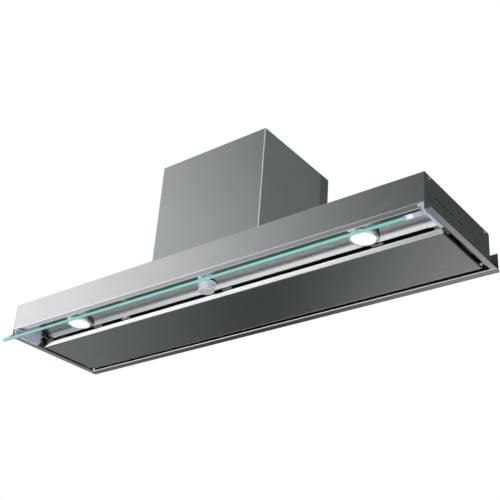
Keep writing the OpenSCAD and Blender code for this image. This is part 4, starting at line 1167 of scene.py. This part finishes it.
def screws():
    """Cross-head screws in the side walls and in the collar's flange."""
    radius, height = HEAD_RADIUS * MM, HEAD_HEIGHT * MM
    head = helper("screw_shape", cross_head(radius, height))
    low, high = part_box("body_screws")
    mid_z = (low.z + high.z) / 2
    y_front, y_rear = low.y + radius, high.y - radius
    side = SIDE_X * MM
    walls = [(x, y, mid_z) for x in (-side, side) for y in (y_front, y_rear)]
    mesh = grown(
        "side_screws",
        HEADS,
        points("side_screw_points", walls),
        {
            "Head": head,
            "Facing": (1.0, 0.0, 0.0),
            "Both ways": 1.0,
            "Coat": FINISH["zinc"],
        },
    )
    new_piece("side_screws", mesh, "housing", "zinc", "body_screws")
    low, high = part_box("box_screws")
    ring = high.x - radius
    flange_top = high.z - height
    corners = [
        (sx * ring, sy * ring, flange_top) for sx in (-1, 1) for sy in (-1, 1)
    ]
    mesh = grown(
        "collar_screws",
        HEADS,
        points("collar_screw_points", corners),
        {"Head": head, "Coat": FINISH["zinc"], "Turn seed": 9},
    )
    new_piece("collar_screws", mesh, "housing", "zinc", "box_screws")
    bpy.data.objects.remove(head)


screws()


def strand_mesh(length, cell, rise, wire):
    """One zigzag strand of expanded metal along x, flat wires of square section."""
    shell = bmesh.new()
    count = int(length / (cell / 2))
    half = wire / 2
    rings = []
    for i in range(count + 1):
        x = -length / 2 + i * length / count
        y = rise / 2 if i % 2 else -rise / 2
        rings.append(
            [
                shell.verts.new((x, y + dy, dz))
                for dy, dz in ((-half, -half), (half, -half), (half, half), (-half, half))
            ]
        )
    for a, b in zip(rings, rings[1:]):
        for i in range(4):
            j = (i + 1) % 4
            shell.faces.new([a[i], a[j], b[j], b[i]])
    shell.faces.new(list(reversed(rings[0])))
    shell.faces.new(rings[-1])
    bmesh.ops.recalc_face_normals(shell, faces=shell.faces)
    return to_mesh("strand", shell, 30.0)


def filter_faces():
    """Expanded-metal faces under the folded filter mesh."""
    for side in ("left", "right"):
        low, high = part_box("filter_mesh_" + side)
        width = high.x - low.x - 2 * MM
        depth = high.y - low.y - 4 * MM
        pitch = 4.4 * MM
        rows = int(depth / pitch)
        strand = helper("strand_shape", strand_mesh(width, 9 * MM, pitch, 0.8 * MM))
        mesh = grown(
            "filter_face_" + side,
            ROWS,
            points("filter_start_" + side, [(0, 0, 0)]),
            {
                "Strand": strand,
                "Rows": rows,
                "Pitch": pitch,
                "Coat": FINISH["mesh"],
            },
        )
        bpy.data.objects.remove(strand)
        centre_x = (low.x + high.x) / 2
        start = low.y + 2 * MM + pitch / 2
        mesh.transform(Matrix.Translation((centre_x, start, low.z - 0.55 * MM)))
        new_piece("filter_face_" + side, mesh, "housing", "mesh")


filter_faces()


def visor_pane():
    """The pane with ground, green edges."""
    shell = merged("visor_glass")
    rims = [e for e in shell.edges if e.calc_face_angle(0.0) > math.radians(40)]
    bmesh.ops.bevel(
        shell, geom=rims, offset=0.5 * MM, segments=2, profile=0.5, affect="EDGES"
    )
    flat = Vector((0.0, math.sin(VISOR_TILT), -math.cos(VISOR_TILT)))
    for face in shell.faces:
        face.material_index = 0 if abs(face.normal.dot(flat)) > 0.9 else 1
    mesh = to_mesh("visor_pane_mesh", shell)
    mesh.materials.append(CLEAR_GLASS)
    mesh.materials.append(GREEN_EDGE)
    new_piece("visor_pane", mesh, "visor", "visor_glass", "visor_glass")


visor_pane()

bpy.context.scene.view_settings.view_transform = "Standard"
